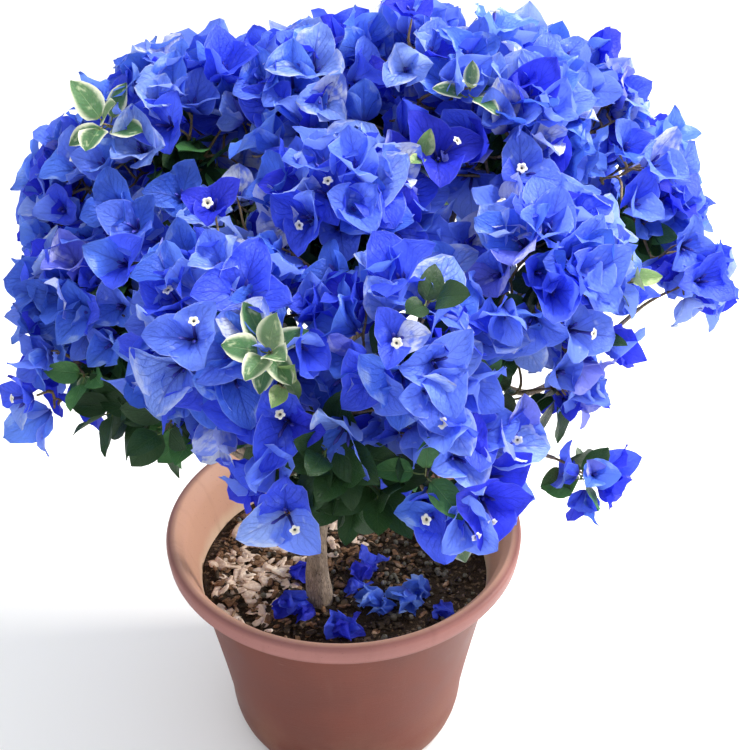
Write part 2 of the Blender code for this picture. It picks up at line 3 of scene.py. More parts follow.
import bpy
import numpy as np
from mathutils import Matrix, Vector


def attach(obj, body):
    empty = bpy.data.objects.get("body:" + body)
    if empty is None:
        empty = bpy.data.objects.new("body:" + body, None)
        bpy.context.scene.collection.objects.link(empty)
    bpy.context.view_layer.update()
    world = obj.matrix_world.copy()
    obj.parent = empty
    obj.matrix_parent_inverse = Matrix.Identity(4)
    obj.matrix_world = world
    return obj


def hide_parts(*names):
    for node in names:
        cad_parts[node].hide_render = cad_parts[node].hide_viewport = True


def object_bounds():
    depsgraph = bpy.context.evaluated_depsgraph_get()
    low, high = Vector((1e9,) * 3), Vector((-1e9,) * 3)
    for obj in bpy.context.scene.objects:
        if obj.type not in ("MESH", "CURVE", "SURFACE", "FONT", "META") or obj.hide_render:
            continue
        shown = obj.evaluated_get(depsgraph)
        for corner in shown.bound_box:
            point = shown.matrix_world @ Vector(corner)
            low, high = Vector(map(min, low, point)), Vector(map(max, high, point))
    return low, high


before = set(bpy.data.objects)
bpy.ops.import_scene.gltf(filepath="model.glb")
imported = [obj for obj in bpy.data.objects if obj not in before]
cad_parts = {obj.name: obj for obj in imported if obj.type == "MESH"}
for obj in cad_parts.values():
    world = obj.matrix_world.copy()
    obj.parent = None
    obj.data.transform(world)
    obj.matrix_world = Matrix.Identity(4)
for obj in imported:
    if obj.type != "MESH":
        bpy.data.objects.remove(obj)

cad_box = [list(corner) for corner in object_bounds()]

# ---------- sizes shared with the solids, in metres ----------
GAP = 0.0003                            # left between solids that touch
RIM_RADIUS, POT_HEIGHT = 0.155, 0.220
LIP_HEIGHT, LIP_ROUND = 0.017, 0.004
MOUTH_RADIUS = 0.1455
SHOULDER_RADIUS = 0.1375                # the pot's body where it meets the lip
WAIST_RADIUS, WAIST_HEIGHT = 0.109, 0.040
FOOT_RADIUS = 0.094
WALL, FLOOR = 0.003, 0.004
BODY_CURVE = 1.12                       # power of the body's taper
DRAIN_COUNT, DRAIN_RADIUS, DRAIN_CIRCLE = 4, 0.0045, 0.066
SOIL_LEVEL, SOIL_SWELL = 0.1665, 0.0022
FOOT = np.array([-0.021, -0.044, SOIL_LEVEL])   # middle of the trunk at the soil
TRUNK_FLAT = 0.030                      # how far about the trunk the soil lies level
TRUNK_TOP = (0.016, -0.004, 0.425)
TRUNK_RADIUS, TRUNK_TIP_RADIUS = 0.0078, 0.0042
FLARE, FLARE_HEIGHT = 0.0030, 0.012
TRUNK_POINTS = 12
HEART = np.array([0.020, 0.0, 0.430])   # middle of the crown
SPACE = 1.17                            # a mass's space against its radius
BOUGH_RADIUS, SIDE_BOUGH_RADIUS = 0.0040, 0.0028
BOUGH_TAPER = 0.55
BOUGH_POINTS = 5
SEED = 41

# Each row: name, kind, bearing and climb in degrees from the heart, reach, radius,
# the limb that carries it, and how far along that limb its bough leaves.
MASSES = [
    ("left", "bract", 188, 8, 0.209, 0.070, "trunk", 0.50),
    ("right_back", "bract", 15, 14, 0.240, 0.069, "trunk", 0.55),
    ("front_left", "bract", 232, 21, 0.164, 0.070, "trunk", 0.60),
    ("back", "bract", 87, 13, 0.200, 0.082, "trunk", 0.60),
    ("front_right", "bract", 327, 27, 0.166, 0.070, "trunk", 0.65),
    ("back_left", "bract", 128, 11, 0.214, 0.078, "trunk", 0.68),
    ("back_right", "bract", 50, 10, 0.227, 0.078, "trunk", 0.73),
    ("front", "bract", 280, 22, 0.153, 0.067, "trunk", 0.74),
    ("upper_left", "bract", 158, 39, 0.207, 0.070, "trunk", 0.79),
    ("top_right", "bract", 17, 53, 0.175, 0.071, "trunk", 0.86),
    ("top_left", "bract", 126, 57, 0.172, 0.070, "trunk", 0.90),
    ("crown_top", "bract", 48, 69, 0.187, 0.058, "trunk", 0.95),
    ("top_centre", "bract", 243, 71, 0.105, 0.078, "trunk", 1.00),
    ("left_back", "bract", 163, 16, 0.236, 0.069, "left", 0.50),
    ("low_left", "bract", 200, -6, 0.240, 0.042, "left", 0.70),
    ("low_left_leaves", "leaf", 216, -8, 0.174, 0.045, "left", 0.35),
    ("front_hang_left", "bract", 253, -6, 0.168, 0.053, "front_left", 0.42),
    ("front_hang_right", "bract", 289, -7, 0.176, 0.058, "front_right", 0.35),
    ("low_front_leaves", "leaf", 270, -22, 0.119, 0.040, "trunk", 0.44),
    ("right_low", "bract", 328, -3, 0.169, 0.048, "front_right", 0.58),
    ("right_tip", "bract", 359, 7, 0.250, 0.046, "right_back", 0.60),
    ("top_right_tip", "bract", 25, 33, 0.238, 0.060, "right_back", 0.42),
    ("hanging_shoot", "bract", 329, -23, 0.213, 0.032, "right_low", 0.60),
    ("upper_back_right", "bract", 44, 36, 0.231, 0.062, "back_right", 0.50),
    ("top_back", "bract", 81, 46, 0.181, 0.070, "back", 0.40),
]

# How far some masses' tips stand out to the open, and how long their bracts are, as shares
# of what the others have.
TRIM = {
    "right_back": (0.62, 0.86), "top_right_tip": (0.55, 0.84), "right_low": (0.50, 0.78),
    "right_tip": (0.70, 0.84), "hanging_shoot": (1.00, 0.84), "left": (0.88, 0.96),
    "left_back": (0.94, 1.0), "upper_back_right": (0.84, 0.94), "low_left": (1.0, 0.95),
}

# ---------- finer sizes of the pot and the soil ----------
RECESS = 0.0015             # hollow of the pot's underside inside its foot
POLE = 0.003                # radius of the pot's innermost rings
SKIRT = 0.050               # how deep the soil's side goes down inside the pot
WALL_CLEAR = 0.008          # left between the pot's wall and what lies on the soil

# ---------- sizes of the finer growth ----------
TIP_SPACING = 0.0205        # between two flowering tips on a mass
TIP_REACH = 0.032           # left free in front of a tip for its bracts
TIP_DEPTH = (0.20, 0.57)    # least and most that tips stand out, as shares of the radius
SEAM_DEPTH = 0.86           # how far they stand out towards a neighbouring mass
SQUASH = 0.22               # how much less they stand out towards the open
OUTWARD, LIFT, WOBBLE = 0.45, 0.12, 0.30
TWIG_RADIUS, TWIG_TIP_RADIUS = 0.00125, 0.00075
BRACT_LENGTH = (0.028, 0.041)
BRACT_SHAPE = (10, 7)       # rows from foot to tip, columns from edge to edge
LEAF_LENGTH = (0.022, 0.034)
LEAF_SHAPE = (8, 7)
BRACT_EDGE = (0.42, 0.76)   # powers of the outline at the foot and at the tip
LEAF_EDGE = (0.50, 0.74)
# Waves along a bract's edge: how many, and how high against half the bract's width.
EDGE_WAVES = [((0.9, 2.1), (0.10, 0.26)), ((2.4, 3.8), (0.04, 0.14))]
TUBE_RADIUS = 0.00125       # of a flower's tube, before it swells and narrows
STAR_SHARE = 0.08           # of the flowers that are open
LOOSE_SHARE = 0.30          # of the bracts whose colour isn't their triad's own
PLACED_SIZE = 0.96          # bract length of the flowers placed one by one, as a share
TWIG_POINTS = 9
LIMB_CLEAR = 0.0022         # least gap between a twig and the limbs
BLADE_CLEAR = 0.0004        # least gap between a blade and the limbs
CORE_COUNT = 260            # leafy tips about the crown's heart
CORE_REACH = (0.07, 0.10, 0.13, 0.16)
CORE_SHAPE = (1.2, 1.0, 0.78)
STALK_RADIUS, STALK_SAG = 0.00055, 0.0008
UP = np.array([0.0, 0.0, 1.0])


def random_for(*numbers):
    """A generator of its own for each use, so that one change leaves the others alone."""
    return np.random.default_rng((SEED, *numbers))


# ---------- small shape tools ----------

def unit(vectors):
    """Each vector over its own length."""
    vectors = np.asarray(vectors, float)
    return vectors / np.maximum(np.linalg.norm(vectors, axis=-1, keepdims=True), 1e-12)


def smooth_step(value, low, high):
    """0 below low, 1 above high, and 3t^2 - 2t^3 between them."""
    t = np.clip((value - low) / (high - low), 0.0, 1.0)
    return t * t * (3 - 2 * t)


def bend(start, heading, end, arrival, count, pull=0.38):
    """A cubic curve that leaves along heading and comes in along arrival."""
    start, end = np.asarray(start, float), np.asarray(end, float)
    span = np.linalg.norm(end - start) * pull
    first, second = start + unit(heading) * span, end - unit(arrival) * span
    t = np.linspace(0.0, 1.0, count)[:, None]
    return ((1 - t) ** 3 * start + 3 * t * (1 - t) ** 2 * first
            + 3 * t ** 2 * (1 - t) * second + t ** 3 * end)


def lattice_noise(points, scale, seed):
    """Noise from -1 to 1: random values on a lattice, blended by smooth steps in x, y and z."""
    values = random_for(900, seed).uniform(-1, 1, (24, 24, 24))
    place = np.asarray(points, float) * scale
    cell = np.floor(place).astype(int)
    part = place - cell
    part = part * part * (3 - 2 * part)
    total = 0.0
    for corner in range(8):
        step = np.array([corner & 1, corner >> 1 & 1, corner >> 2 & 1])
        weight = np.prod(np.where(step, part, 1 - part), axis=-1)
        index = (cell + step) % 24
        total = total + weight * values[index[..., 0], index[..., 1], index[..., 2]]
    return total


def smooth_path(points, count):
    """A curve through the points: each coordinate is a cubic of the distance run so far."""
    points = np.asarray(points, float)
    run = np.append(0.0, np.cumsum(np.linalg.norm(np.diff(points, axis=0), axis=1)))
    place = np.linspace(0.0, run[-1], count)
    slopes = np.gradient(points, run, axis=0)
    index = np.clip(np.searchsorted(run, place, side="right") - 1, 0, len(run) - 2)
    width = run[index + 1] - run[index]
    t = ((place - run[index]) / width)[:, None]
    width = width[:, None]
    return ((2 * t ** 3 - 3 * t ** 2 + 1) * points[index]
            + (t ** 3 - 2 * t ** 2 + t) * width * slopes[index]
            + (3 * t ** 2 - 2 * t ** 3) * points[index + 1]
            + (t ** 3 - t ** 2) * width * slopes[index + 1])


def grid_quads(pieces, rows, columns, closed=False):
    """Faces of equal grids laid one after another. A closed grid joins its last column to its
    first."""
    across = columns if closed else columns - 1
    row, column = np.meshgrid(np.arange(rows - 1), np.arange(across), indexing="ij")
    following = (column + 1) % columns
    quads = np.stack([row * columns + column, row * columns + following,
                      (row + 1) * columns + following, (row + 1) * columns + column], axis=-1)
    shift = np.arange(pieces)[:, None, None] * rows * columns
    return (quads.reshape(1, -1, 4) + shift).reshape(-1, 4)


def fan(centre, first, count, turned=False):
    """Triangles from a centre to a ring that starts at a first vertex; turned, they face the
    other way."""
    ring = [(first + i, first + (i + 1) % count) for i in range(count)]
    return [(centre, after, before) if turned else (centre, before, after)
            for before, after in ring]


def grid_uv(pieces, rows, columns):
    """Across each grid from 0 to 1 in x, and from its first row to its last from 0 to 1 in y."""
    v, u = np.meshgrid(np.linspace(0, 1, rows), np.linspace(0, 1, columns), indexing="ij")
    return np.tile(np.stack([u, v], axis=-1).reshape(-1, 2), (pieces, 1))


def add_piece(name, verts, faces, material, uv=None):
    """A smooth mesh at the origin that rides on the one body of the plant."""
    mesh = bpy.data.meshes.new(name)
    faces = faces.tolist() if isinstance(faces, np.ndarray) else faces
    mesh.from_pydata(np.asarray(verts, float).reshape(-1, 3).tolist(), [], faces)
    mesh.polygons.foreach_set("use_smooth", np.ones(len(mesh.polygons), bool))
    if uv is not None:
        corners = np.zeros(len(mesh.loops), int)
        mesh.loops.foreach_get("vertex_index", corners)
        layer = mesh.uv_layers.new(name="OFBake")
        layer.uv.foreach_set("vector", np.asarray(uv, float)[corners].ravel())
    mesh.materials.append(material)
    mesh.update()
    piece = bpy.data.objects.new(name, mesh)
    bpy.context.scene.collection.objects.link(piece)
    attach(piece, "root")
    return piece


def tubes(paths, radii, sides):
    """Round tubes. Ring point = path point + radius (side cos a + other sin a), where side and
    other are square to the path's own slope and to each other."""
    slopes = unit(np.gradient(paths, axis=1))
    guide = unit(np.cross(slopes[:, :1], np.array([0.31, 0.17, 0.93])))
    side = unit(guide - (guide * slopes).sum(-1, keepdims=True) * slopes)
    other = np.cross(slopes, side)
    angle = 2 * math.pi * np.arange(sides) / sides
    around = (side[:, :, None] * np.cos(angle)[:, None]
              + other[:, :, None] * np.sin(angle)[:, None])
    verts = paths[:, :, None] + np.asarray(radii)[..., None, None] * around
    return verts.reshape(-1, 3), grid_quads(len(paths), paths.shape[1], sides, closed=True)


# ---------- the limbs, by the same rule as the solids ----------

def along(limb, share):
    """Point, direction and radius of a limb at a share of its length."""
    points, radii = limb
    place = share * (len(points) - 1)
    index = min(int(place), len(points) - 2)
    rest = place - index
    point = points[index] * (1 - rest) + points[index + 1] * rest
    way = unit(points[index + 1] - points[index])
    return point, way, np.interp(place, range(len(radii)), radii)


def trunk_limb():
    """Upright at the soil, then leaning in to the middle of the crown."""
    start = FOOT + np.array([0.0, 0.0, GAP])
    path = bend(start, (-0.10, 0.0, 1.0), TRUNK_TOP, (0.1, 0.15, 1.0), TRUNK_POINTS - 1)
    collar = start + np.array([0.0, 0.0, FLARE_HEIGHT * 0.45])
    points = np.vstack([start, collar, path[1:]])
    rise = points[:, 2] - start[2]
    radii = TRUNK_RADIUS + (TRUNK_TIP_RADIUS - TRUNK_RADIUS) * rise / rise[-1]
    return points, radii + FLARE * np.exp(-rise / (FLARE_HEIGHT * 0.6))


def mass_spaces():
    """For each mass its centre, radius and the planes that part it from the others."""
    centres, radii = {}, {}
    for name, _, bearing, climb, reach, radius, *_ in MASSES:
        bearing, climb = math.radians(bearing), math.radians(climb)
        way = (math.cos(climb) * math.cos(bearing), math.cos(climb) * math.sin(bearing),
               math.sin(climb))
        centres[name] = HEART + reach * np.array(way)
        radii[name] = radius
    spaces = {}
    for name, centre in centres.items():
        radius = radii[name]
        normals, limits = [], []
        for other, far in centres.items():
            away = np.linalg.norm(far - centre)
            if other != name and away < SPACE * (radius + radii[other]):
                normals.append((far - centre) / away)
                limits.append((away ** 2 + radius ** 2 - radii[other] ** 2) / (2 * away))
        spaces[name] = (centre, radius, np.array(normals).reshape(-1, 3), np.array(limits))
    return spaces


def depth_inside(space, points):
    """Distance from each point to the mass's border, negative outside."""
    centre, radius, normals, limits = space
    offset = np.atleast_2d(points) - centre
    depth = SPACE * radius - np.linalg.norm(offset, axis=1)
    return np.minimum(depth, (limits - offset @ normals.T).min(axis=1, initial=1.0))


def bough_limb(space, parent, share, side_bough):
    """Leaves its parent square to it and ends where it enters the mass."""
    centre, radius = space[:2]
    point, direction, thick = along(parent, share)
    out = unit((centre - point) - np.dot(centre - point, direction) * direction)
    start_radius = SIDE_BOUGH_RADIUS if side_bough else BOUGH_RADIUS
    start = point + out * thick
    for back in np.linspace(0.95, 0.30, 27):
        end = centre + unit(start - centre) * radius * back
        if depth_inside(space, end) > 0.004:
            break
    path = bend(start, out, end, unit(centre - start) + np.array([0, 0, 0.25]), BOUGH_POINTS)
    return path, start_radius * np.linspace(1.0, BOUGH_TAPER, BOUGH_POINTS)


def plan_limbs(spaces):
    """Trunk and boughs as paths with radii; the mass on the trunk's tip has no bough."""
    limbs = {"trunk": trunk_limb()}
    for name, *_, parent, share in MASSES:
        if share < 1.0:
            limbs[name] = bough_limb(spaces[name], limbs[parent], share, parent != "trunk")
    return limbs


def limb_lines(limbs):
    """Every stretch of every limb, as heads, tails and the thicker end's radius."""
    heads = np.vstack([path[:-1] for path, _ in limbs.values()])
    tails = np.vstack([path[1:] for path, _ in limbs.values()])
    return heads, tails, np.concatenate([radii[:-1] for _, radii in limbs.values()])


def limb_distance(points, lines):
    """Distance from each point to the surface of the nearest limb."""
    heads, tails, thick = lines
    run = tails - heads
    offset = points[:, None] - heads
    share = np.clip((offset * run).sum(-1) / (run * run).sum(-1), 0.0, 1.0)
    return (np.linalg.norm(offset - share[..., None] * run, axis=-1) - thick).min(axis=1)


def bark_tube(path, radii, rows, sides, relief, seed):
    """One limb with bark. Radius = smooth radius (1 + relief x ridges), where the ridges are
    noise drawn out along the limb, cut off flat above so that the fissures stay narrow."""
    line = smooth_path(path, rows)
    reach = np.linspace(0, 1, len(radii))
    thick = np.interp(np.linspace(0, 1, rows), reach, radii)
    run = np.append(0.0, np.cumsum(np.linalg.norm(np.diff(line, axis=0), axis=1)))
    angle = 2 * math.pi * np.arange(sides) / sides
    place = np.stack(np.broadcast_arrays(np.cos(angle) * 0.007, np.sin(angle) * 0.007,
                                         run[:, None] * 0.16), axis=-1)
    ridges = lattice_noise(place, 520, seed) + 0.6 * lattice_noise(place, 1100, seed + 1)
    lumps = lattice_noise(place * (1, 1, 1.6), 150, seed + 2)
    shape = 1 + relief * (np.minimum(ridges, 0.25) + 0.9 * lumps)
    slopes = unit(np.gradient(line, axis=0))
    guide = unit(np.cross(slopes[0], (0.31, 0.17, 0.93)))
    side = unit(guide - (slopes @ guide)[:, None] * slopes)
    other = np.cross(slopes, side)
    around = side[:, None] * np.cos(angle)[:, None] + other[:, None] * np.sin(angle)[:, None]
    return line[:, None] + (thick[:, None] * shape)[..., None] * around


def build_wood(limbs, material):
    """Trunk and boughs, each a bark tube. The trunk starts just under the soil. A bough starts
    inside its parent, behind a collar: its radius x (1 + 0.45 e^(-share / 0.07))."""
    verts, faces, count = [], [], 0
    carriers = {name: parent for name, *_, parent, _ in MASSES}
    for number, (name, (path, radii)) in enumerate(limbs.items()):
        if name == "trunk":
            rows, sides, relief = 210, 40, 0.055
            path = np.vstack([path[0] - (0, 0, 0.004), path])
            radii = np.append(radii[0] * 1.08, radii)
        else:
            rows, sides, relief = 56, 14, 0.06
            inward = radii[0] * (1.3 if carriers[name] == "trunk" else 0.9)
            path = np.vstack([path[0] - unit(path[1] - path[0]) * inward, path])
            radii = np.append(radii[0], radii)
            path = smooth_path(path, 24)
            share = np.linspace(0, 1, len(path))
            radii = np.interp(share, np.linspace(0, 1, len(radii)), radii)
            radii = radii * (1 + 0.45 * np.exp(-share / 0.07))
        tube = bark_tube(path, radii, rows, sides, relief, 10 + number)
        tip = tube[-1].mean(axis=0)
        verts += [tube.reshape(-1, 3), tip[None]]
        faces += (grid_quads(1, rows, sides, closed=True) + count).tolist()
        faces += fan(count + rows * sides, count + (rows - 1) * sides, sides)
        count += rows * sides + 1
    piece = add_piece("trunk_and_boughs", np.vstack(verts), faces, material)
    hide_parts("trunk", *[f"bough_{name}" for name in limbs if name != "trunk"])


# ---------- growth of the twigs ----------

def golden_directions(count, turn):
    """Even directions on a ball, by the golden angle, started at a turn."""
    index = np.arange(count) + 0.5
    height = 1 - 2 * index / count
    flat = np.sqrt(1 - height ** 2)
    angle = index * math.pi * (3 - math.sqrt(5)) + turn
    return np.stack([flat * np.cos(angle), flat * np.sin(angle), height], axis=1)


def stem_path(space, limb):
    """From the bough's tip on to a little past the middle of the mass."""
    centre, radius = space[:2]
    tip, way, _ = along(limb, 1.0)
    end = centre + unit(centre - tip) * radius * 0.12
    return bend(tip - way * 0.004, way, end, centre - tip, TWIG_POINTS)


def twig_tips(space, rng, drawn):
    """Ends of the twigs in even directions. Towards the open they end early enough to leave
    room for their flowers, at the share of that reach that drawn says. Towards a neighbouring
    mass they run on to the plane between."""
    centre, radius, normals, limits = space
    far = np.clip(1.03 * radius - TIP_REACH, TIP_DEPTH[0] * radius, TIP_DEPTH[1] * radius)
    count = max(6, round(4 * math.pi * (1.15 * far) ** 2 / TIP_SPACING ** 2))
    ways = golden_directions(count, rng.uniform(0, 2 * math.pi))
    toward = ways @ normals.T
    border = np.where(toward > 0.25, limits / np.maximum(toward, 0.25), 1.0)
    border = border.min(axis=1, initial=1.0)
    outward = unit(centre + ways * far - HEART)
    facing = (ways * outward).sum(axis=1)
    uneven = rng.uniform(0.80, 1.12, count) * np.where(rng.random(count) < 0.10, 1.22, 1.0)
    free = far * (1 - SQUASH * np.clip(facing, 0, 1)) * uneven * drawn
    shared = np.minimum(border * rng.uniform(0.80, 0.96, count), SEAM_DEPTH * radius)
    reach = np.where(border < radius, np.maximum(shared, free), free)
    tips = centre + ways * reach[:, None]
    outward = unit(tips - HEART)
    axes = unit(ways + OUTWARD * outward + LIFT * UP + WOBBLE * rng.normal(size=(count, 3)))
    kept = depth_inside(space, tips) > 0.001
    return tips[kept], axes[kept], facing[kept]


def spots_on(path, shares):
    """Points on a path at shares of its length, with the way the path runs there."""
    place = np.asarray(shares) * (len(path) - 1)
    index = np.minimum(place.astype(int), len(path) - 2)
    run = path[index + 1] - path[index]
    return path[index] + run * (place - index)[:, None], unit(run)


def wood_cost(away, ways):
    """What each piece of wood costs a tip = distance x (1.35 - 0.35 cos of the turn needed)."""
    return np.linalg.norm(away, axis=1) * (1.35 - 0.35 * (unit(away) * ways).sum(axis=1))


def grow_mass(space, limb, lines, rng, drawn):
    """Twigs from the cheapest wood that already stands, nearest tips first. Each spray is the
    hub at a twig's tip, its axis, and how far it faces out of the crown."""
    stem = stem_path(space, limb)
    places, ways = spots_on(stem, np.linspace(0.25, 0.98, 8))
    tips, axes, facing = twig_tips(space, rng, drawn)
    paths, sprays = [stem], []
    for number in np.argsort(np.linalg.norm(tips - stem[3], axis=1)):
        hub, axis = tips[number], axes[number]
        away = hub - places
        start = int(np.argmin(wood_cost(away, ways)))
        ahead = unit(away[start])
        path = bend(places[start], ways[start] + ahead, hub, axis + ahead, TWIG_POINTS)
        if limb_distance(path[2:], lines).min() < LIMB_CLEAR:
            continue
        paths.append(path)
        sprays.append((hub, axis, facing[number]))
        more_places, more_ways = spots_on(path, (0.45, 0.65, 0.82))
        places, ways = np.vstack([places, more_places]), np.vstack([ways, more_ways])
    return paths, sprays


# ---------- bracts ----------

def blade_outline(share, foot, tip):
    """Half width of a bract or leaf against its widest: share^foot (1 - share)^tip over its
    own peak, which gives a round foot, a widest place below the middle and a pointed tip."""
    peak = foot / (foot + tip)
    return share ** foot * (1 - share) ** tip / (peak ** foot * (1 - peak) ** tip)


def bract_surfaces(hubs, axes, rays, open_to, lengths, rng, crumple=0.0):
    """Bracts as grids, one per row of hubs.

    The midrib leaves the hub near the axis and turns out towards its ray: its angle to the
    axis goes from first to last with the share of the length, further on a bract that is
    open. Across it the blade rises by a cup, a fold at the midrib and waves that run along
    the edge, all of them more the further out from the midrib.
    """
    count = len(hubs)
    rows, columns = BRACT_SHAPE
    share = np.linspace(0.012, 0.996, rows)
    across = np.linspace(-1, 1, columns)
    draw = lambda low, high: rng.uniform(low, high, (count, 1))
    length, slim = lengths[:, None], draw(0.38, 0.47)
    opened = open_to[:, None]
    first = np.radians(4 + 24 * opened + draw(-5, 5))
    last = np.radians(24 + 68 * opened + draw(-14, 14))
    angle = first + (last - first) * share ** 1.15
    step = np.gradient(share)
    rise = np.cumsum(np.cos(angle) * step, axis=1) * length
    reach = np.cumsum(np.sin(angle) * step, axis=1) * length
    axes, rays = axes[:, None], rays[:, None]
    midrib = hubs[:, None] + axes * rise[..., None] + rays * reach[..., None]
    inner = axes * np.sin(angle)[..., None] - rays * np.cos(angle)[..., None]
    side = np.cross(axes, rays)
    half = (blade_outline(share, *BRACT_EDGE) * length * slim)[..., None] * across
    bow = np.abs(half)
    cup = draw(0.05, 0.55) * (1 - 0.55 * share)
    lift = cup[..., None] * bow ** 1.5 / (length * slim)[..., None] ** 0.5
    lift = lift + draw(0.04, 0.55)[..., None] * bow * (1 - 0.7 * share[:, None])
    edge = np.abs(across) ** 2.0
    for beats, size in EDGE_WAVES:
        phase = draw(0, 6.28)[..., None] + np.where(across > 0, 2.1, 0.0)
        beat = draw(*beats)[..., None] * 2 * math.pi
        wave = np.sin(beat * share[:, None] + phase) * edge
        wave = wave * np.sin(math.pi * share[:, None]) ** 0.5
        lift = lift + draw(*size)[..., None] * (length * slim)[..., None] * wave
    curl = draw(-0.6, 1.0)[..., None] * smooth_step(share[:, None], 0.60, 1.0)
    lift = lift + 0.13 * length[..., None] * curl * (1 - 0.4 * across ** 2)
    lean = draw(-0.14, 0.14)[..., None] * length[..., None] * share[:, None] ** 2
    half = half + lean
    points = (midrib[:, :, None] + side[:, :, None] * half[..., None]
              + inner[:, :, None] * lift[..., None])
    if crumple:
        place = points + 7 * hubs[:, None, None]
        bumps = [lattice_noise(place, 150, 40 + k) for k in range(3)]
        points = points + crumple * np.stack(bumps, axis=-1)
    return points, midrib, inner


def triads(hubs, axes, rng, sizes, opened=(0.15, 1.0), crumple=0.0):
    """Three bracts round each hub, a third of a turn apart, alike but a little uneven. Sizes
    are shares of a bract's usual length, and opened spans from closed to wide open."""
    count = len(hubs)
    guide = unit(np.cross(axes, np.array([0.37, 0.81, 0.45])))
    other = np.cross(axes, guide)
    turn = rng.uniform(0, 2 * math.pi, (count, 1)) + 2 * math.pi / 3 * np.arange(3)
    turn = (turn + rng.uniform(-0.22, 0.22, turn.shape))[..., None]
    rays = guide[:, None] * np.cos(turn) + other[:, None] * np.sin(turn)
    spread = lambda rows: np.repeat(rows, 3, axis=0)
    open_to = spread(rng.uniform(*opened, count)) + rng.uniform(-0.14, 0.14, 3 * count)
    lengths = spread(rng.uniform(*BRACT_LENGTH, count) * sizes) * rng.uniform(0.9, 1.1, 3 * count)
    return bract_surfaces(spread(hubs), spread(axes), rays.reshape(-1, 3),
                          np.clip(open_to, 0.05, 1.15), lengths, rng, crumple)


def build_bracts(name, surfaces, material):
    """All the bracts of one colour in one piece."""
    return add_piece(name, surfaces, grid_quads(len(surfaces), *BRACT_SHAPE), material,
                     grid_uv(len(surfaces), *BRACT_SHAPE))


# ---------- flowers ----------

def flower_tubes(midribs, inner, opened, rng):
    """A slender tube over each bract's midrib: swollen at the foot, drawn in, then widening
    to its mouth; where it isn't open it ends in a bud. Paths stand off the midrib by a share
    of the length, and the mouth is put out, with the way it faces."""
    count, steps = len(midribs), 7
    share = np.linspace(0, 1, steps)
    top = np.where(opened, rng.uniform(0.42, 0.56, count), rng.uniform(0.30, 0.46, count))[:, None]
    place = share * top * (BRACT_SHAPE[0] - 1)
    index = np.minimum(place.astype(int), BRACT_SHAPE[0] - 2)
    part = (place - index)[..., None]
    pick = np.arange(count)[:, None]
    path = midribs[pick, index] * (1 - part) + midribs[pick, index + 1] * part
    off = 0.0010 + (0.0035 + 0.0030 * opened[:, None]) * share ** 1.5
    path = path + inner[pick, index] * off[..., None]
    shape = np.interp(share, [0, .12, .3, .5, .85, .95, 1], [.5, .95, 1.05, .72, .95, 1.1, 1.2])
    bud = np.interp(share, [0, .12, .3, .5, .8, .93, 1], [.5, .95, 1.0, .72, 1.05, .8, .08])
    radii = TUBE_RADIUS * np.where(opened[:, None], shape, bud)
    return path, radii


def flower_star(mouths, ways, rng):
    """The open limb of a flower: rings round the mouth, from the throat out to five lobes.

    Radius at the rim = 1 - 0.24 |cos(2.5 a)|^3 of its size, and the limb dips at the throat,
    rises as a shallow bowl and rolls back at the rim.
    """
    count, sides = len(mouths), 30
    angle = 2 * math.pi * np.arange(sides) / sides
    lobes = 1 - 0.24 * np.abs(np.cos(2.5 * angle)) ** 3
    rings = np.array([0.10, 0.26, 0.34, 0.62, 0.86, 1.0])
    rise = np.array([-0.38, -0.10, 0.05, 0.16, 0.15, 0.06])
    size = rng.uniform(0.0035, 0.0044, (count, 1, 1))
    spread = 1 + (lobes - 1) * rings[:, None] ** 2
    flat = size * rings[:, None] * spread
    high = size * (rise[:, None] + 0.05 * np.cos(5 * angle + 0.6) * rings[:, None])
    guide = unit(np.cross(ways, np.array([0.2, 0.9, 0.35])))
    other = np.cross(ways, guide)
    wheel = (guide[:, None, None] * np.cos(angle)[:, None]
             + other[:, None, None] * np.sin(angle)[:, None])
    verts = mouths[:, None, None] + flat[..., None] * wheel + high[..., None] * ways[:, None, None]
    radial = np.broadcast_to(rings[:, None], (len(rings), sides))
    place = np.stack([0.5 + 0.5 * radial * np.cos(angle), 0.5 + 0.5 * radial * np.sin(angle)], -1)
    uv = np.tile(place.reshape(-1, 2), (count, 1))
    return verts, grid_quads(count, len(rings), sides, closed=True), uv


# ---------- leaves ----------

def leaf_surfaces(starts, ways, tops, sizes, rng):
    """Leaves as grids. The midrib sets out along its way and bends away from its top side by
    droop x share^2; the halves fold up along it, and the edge waves."""
    count = len(starts)
    rows, columns = LEAF_SHAPE
    share = np.linspace(0.01, 0.995, rows)
    across = np.linspace(-1, 1, columns)
    draw = lambda low, high: rng.uniform(low, high, (count, 1, 1))
    length = sizes[:, None, None]
    side = unit(np.cross(ways, tops))
    top = np.cross(side, ways)
    half = blade_outline(share, *LEAF_EDGE)[:, None] * across * length * draw(0.31, 0.38)
    droop = -draw(-0.02, 0.34) * share[:, None] ** 2 * length
    fold = draw(0.08, 0.42) * np.abs(half)
    wave = np.sin(share[:, None] * draw(5, 10) + draw(0, 6.28)) * np.abs(across) ** 2
    high = droop + fold + 0.0011 * wave
    onward = np.broadcast_to(share[:, None] * length, high.shape)
    return (starts[:, None, None] + ways[:, None, None] * onward[..., None]
            + side[:, None, None] * half[..., None] + top[:, None, None] * high[..., None])


def leaf_places(paths, shares, rng):
    """Where leaves leave their twigs: a spot on the path and a way that turns round the twig,
    leans forward along it and up to the light."""
    spots, runs = zip(*[spots_on(path, shares_of) for path, shares_of in zip(paths, shares)])
    spots, runs = np.vstack(spots), np.vstack(runs)
    around = unit(np.cross(runs, rng.normal(size=runs.shape)))
    outward = unit(spots - HEART)
    ways = unit(around + 0.45 * runs + 0.30 * outward + 0.15 * UP)
    tops = unit(outward + 0.7 * UP + 0.25 * rng.normal(size=runs.shape))
    return spots, ways, tops


# ---------- soil and what lies on it ----------

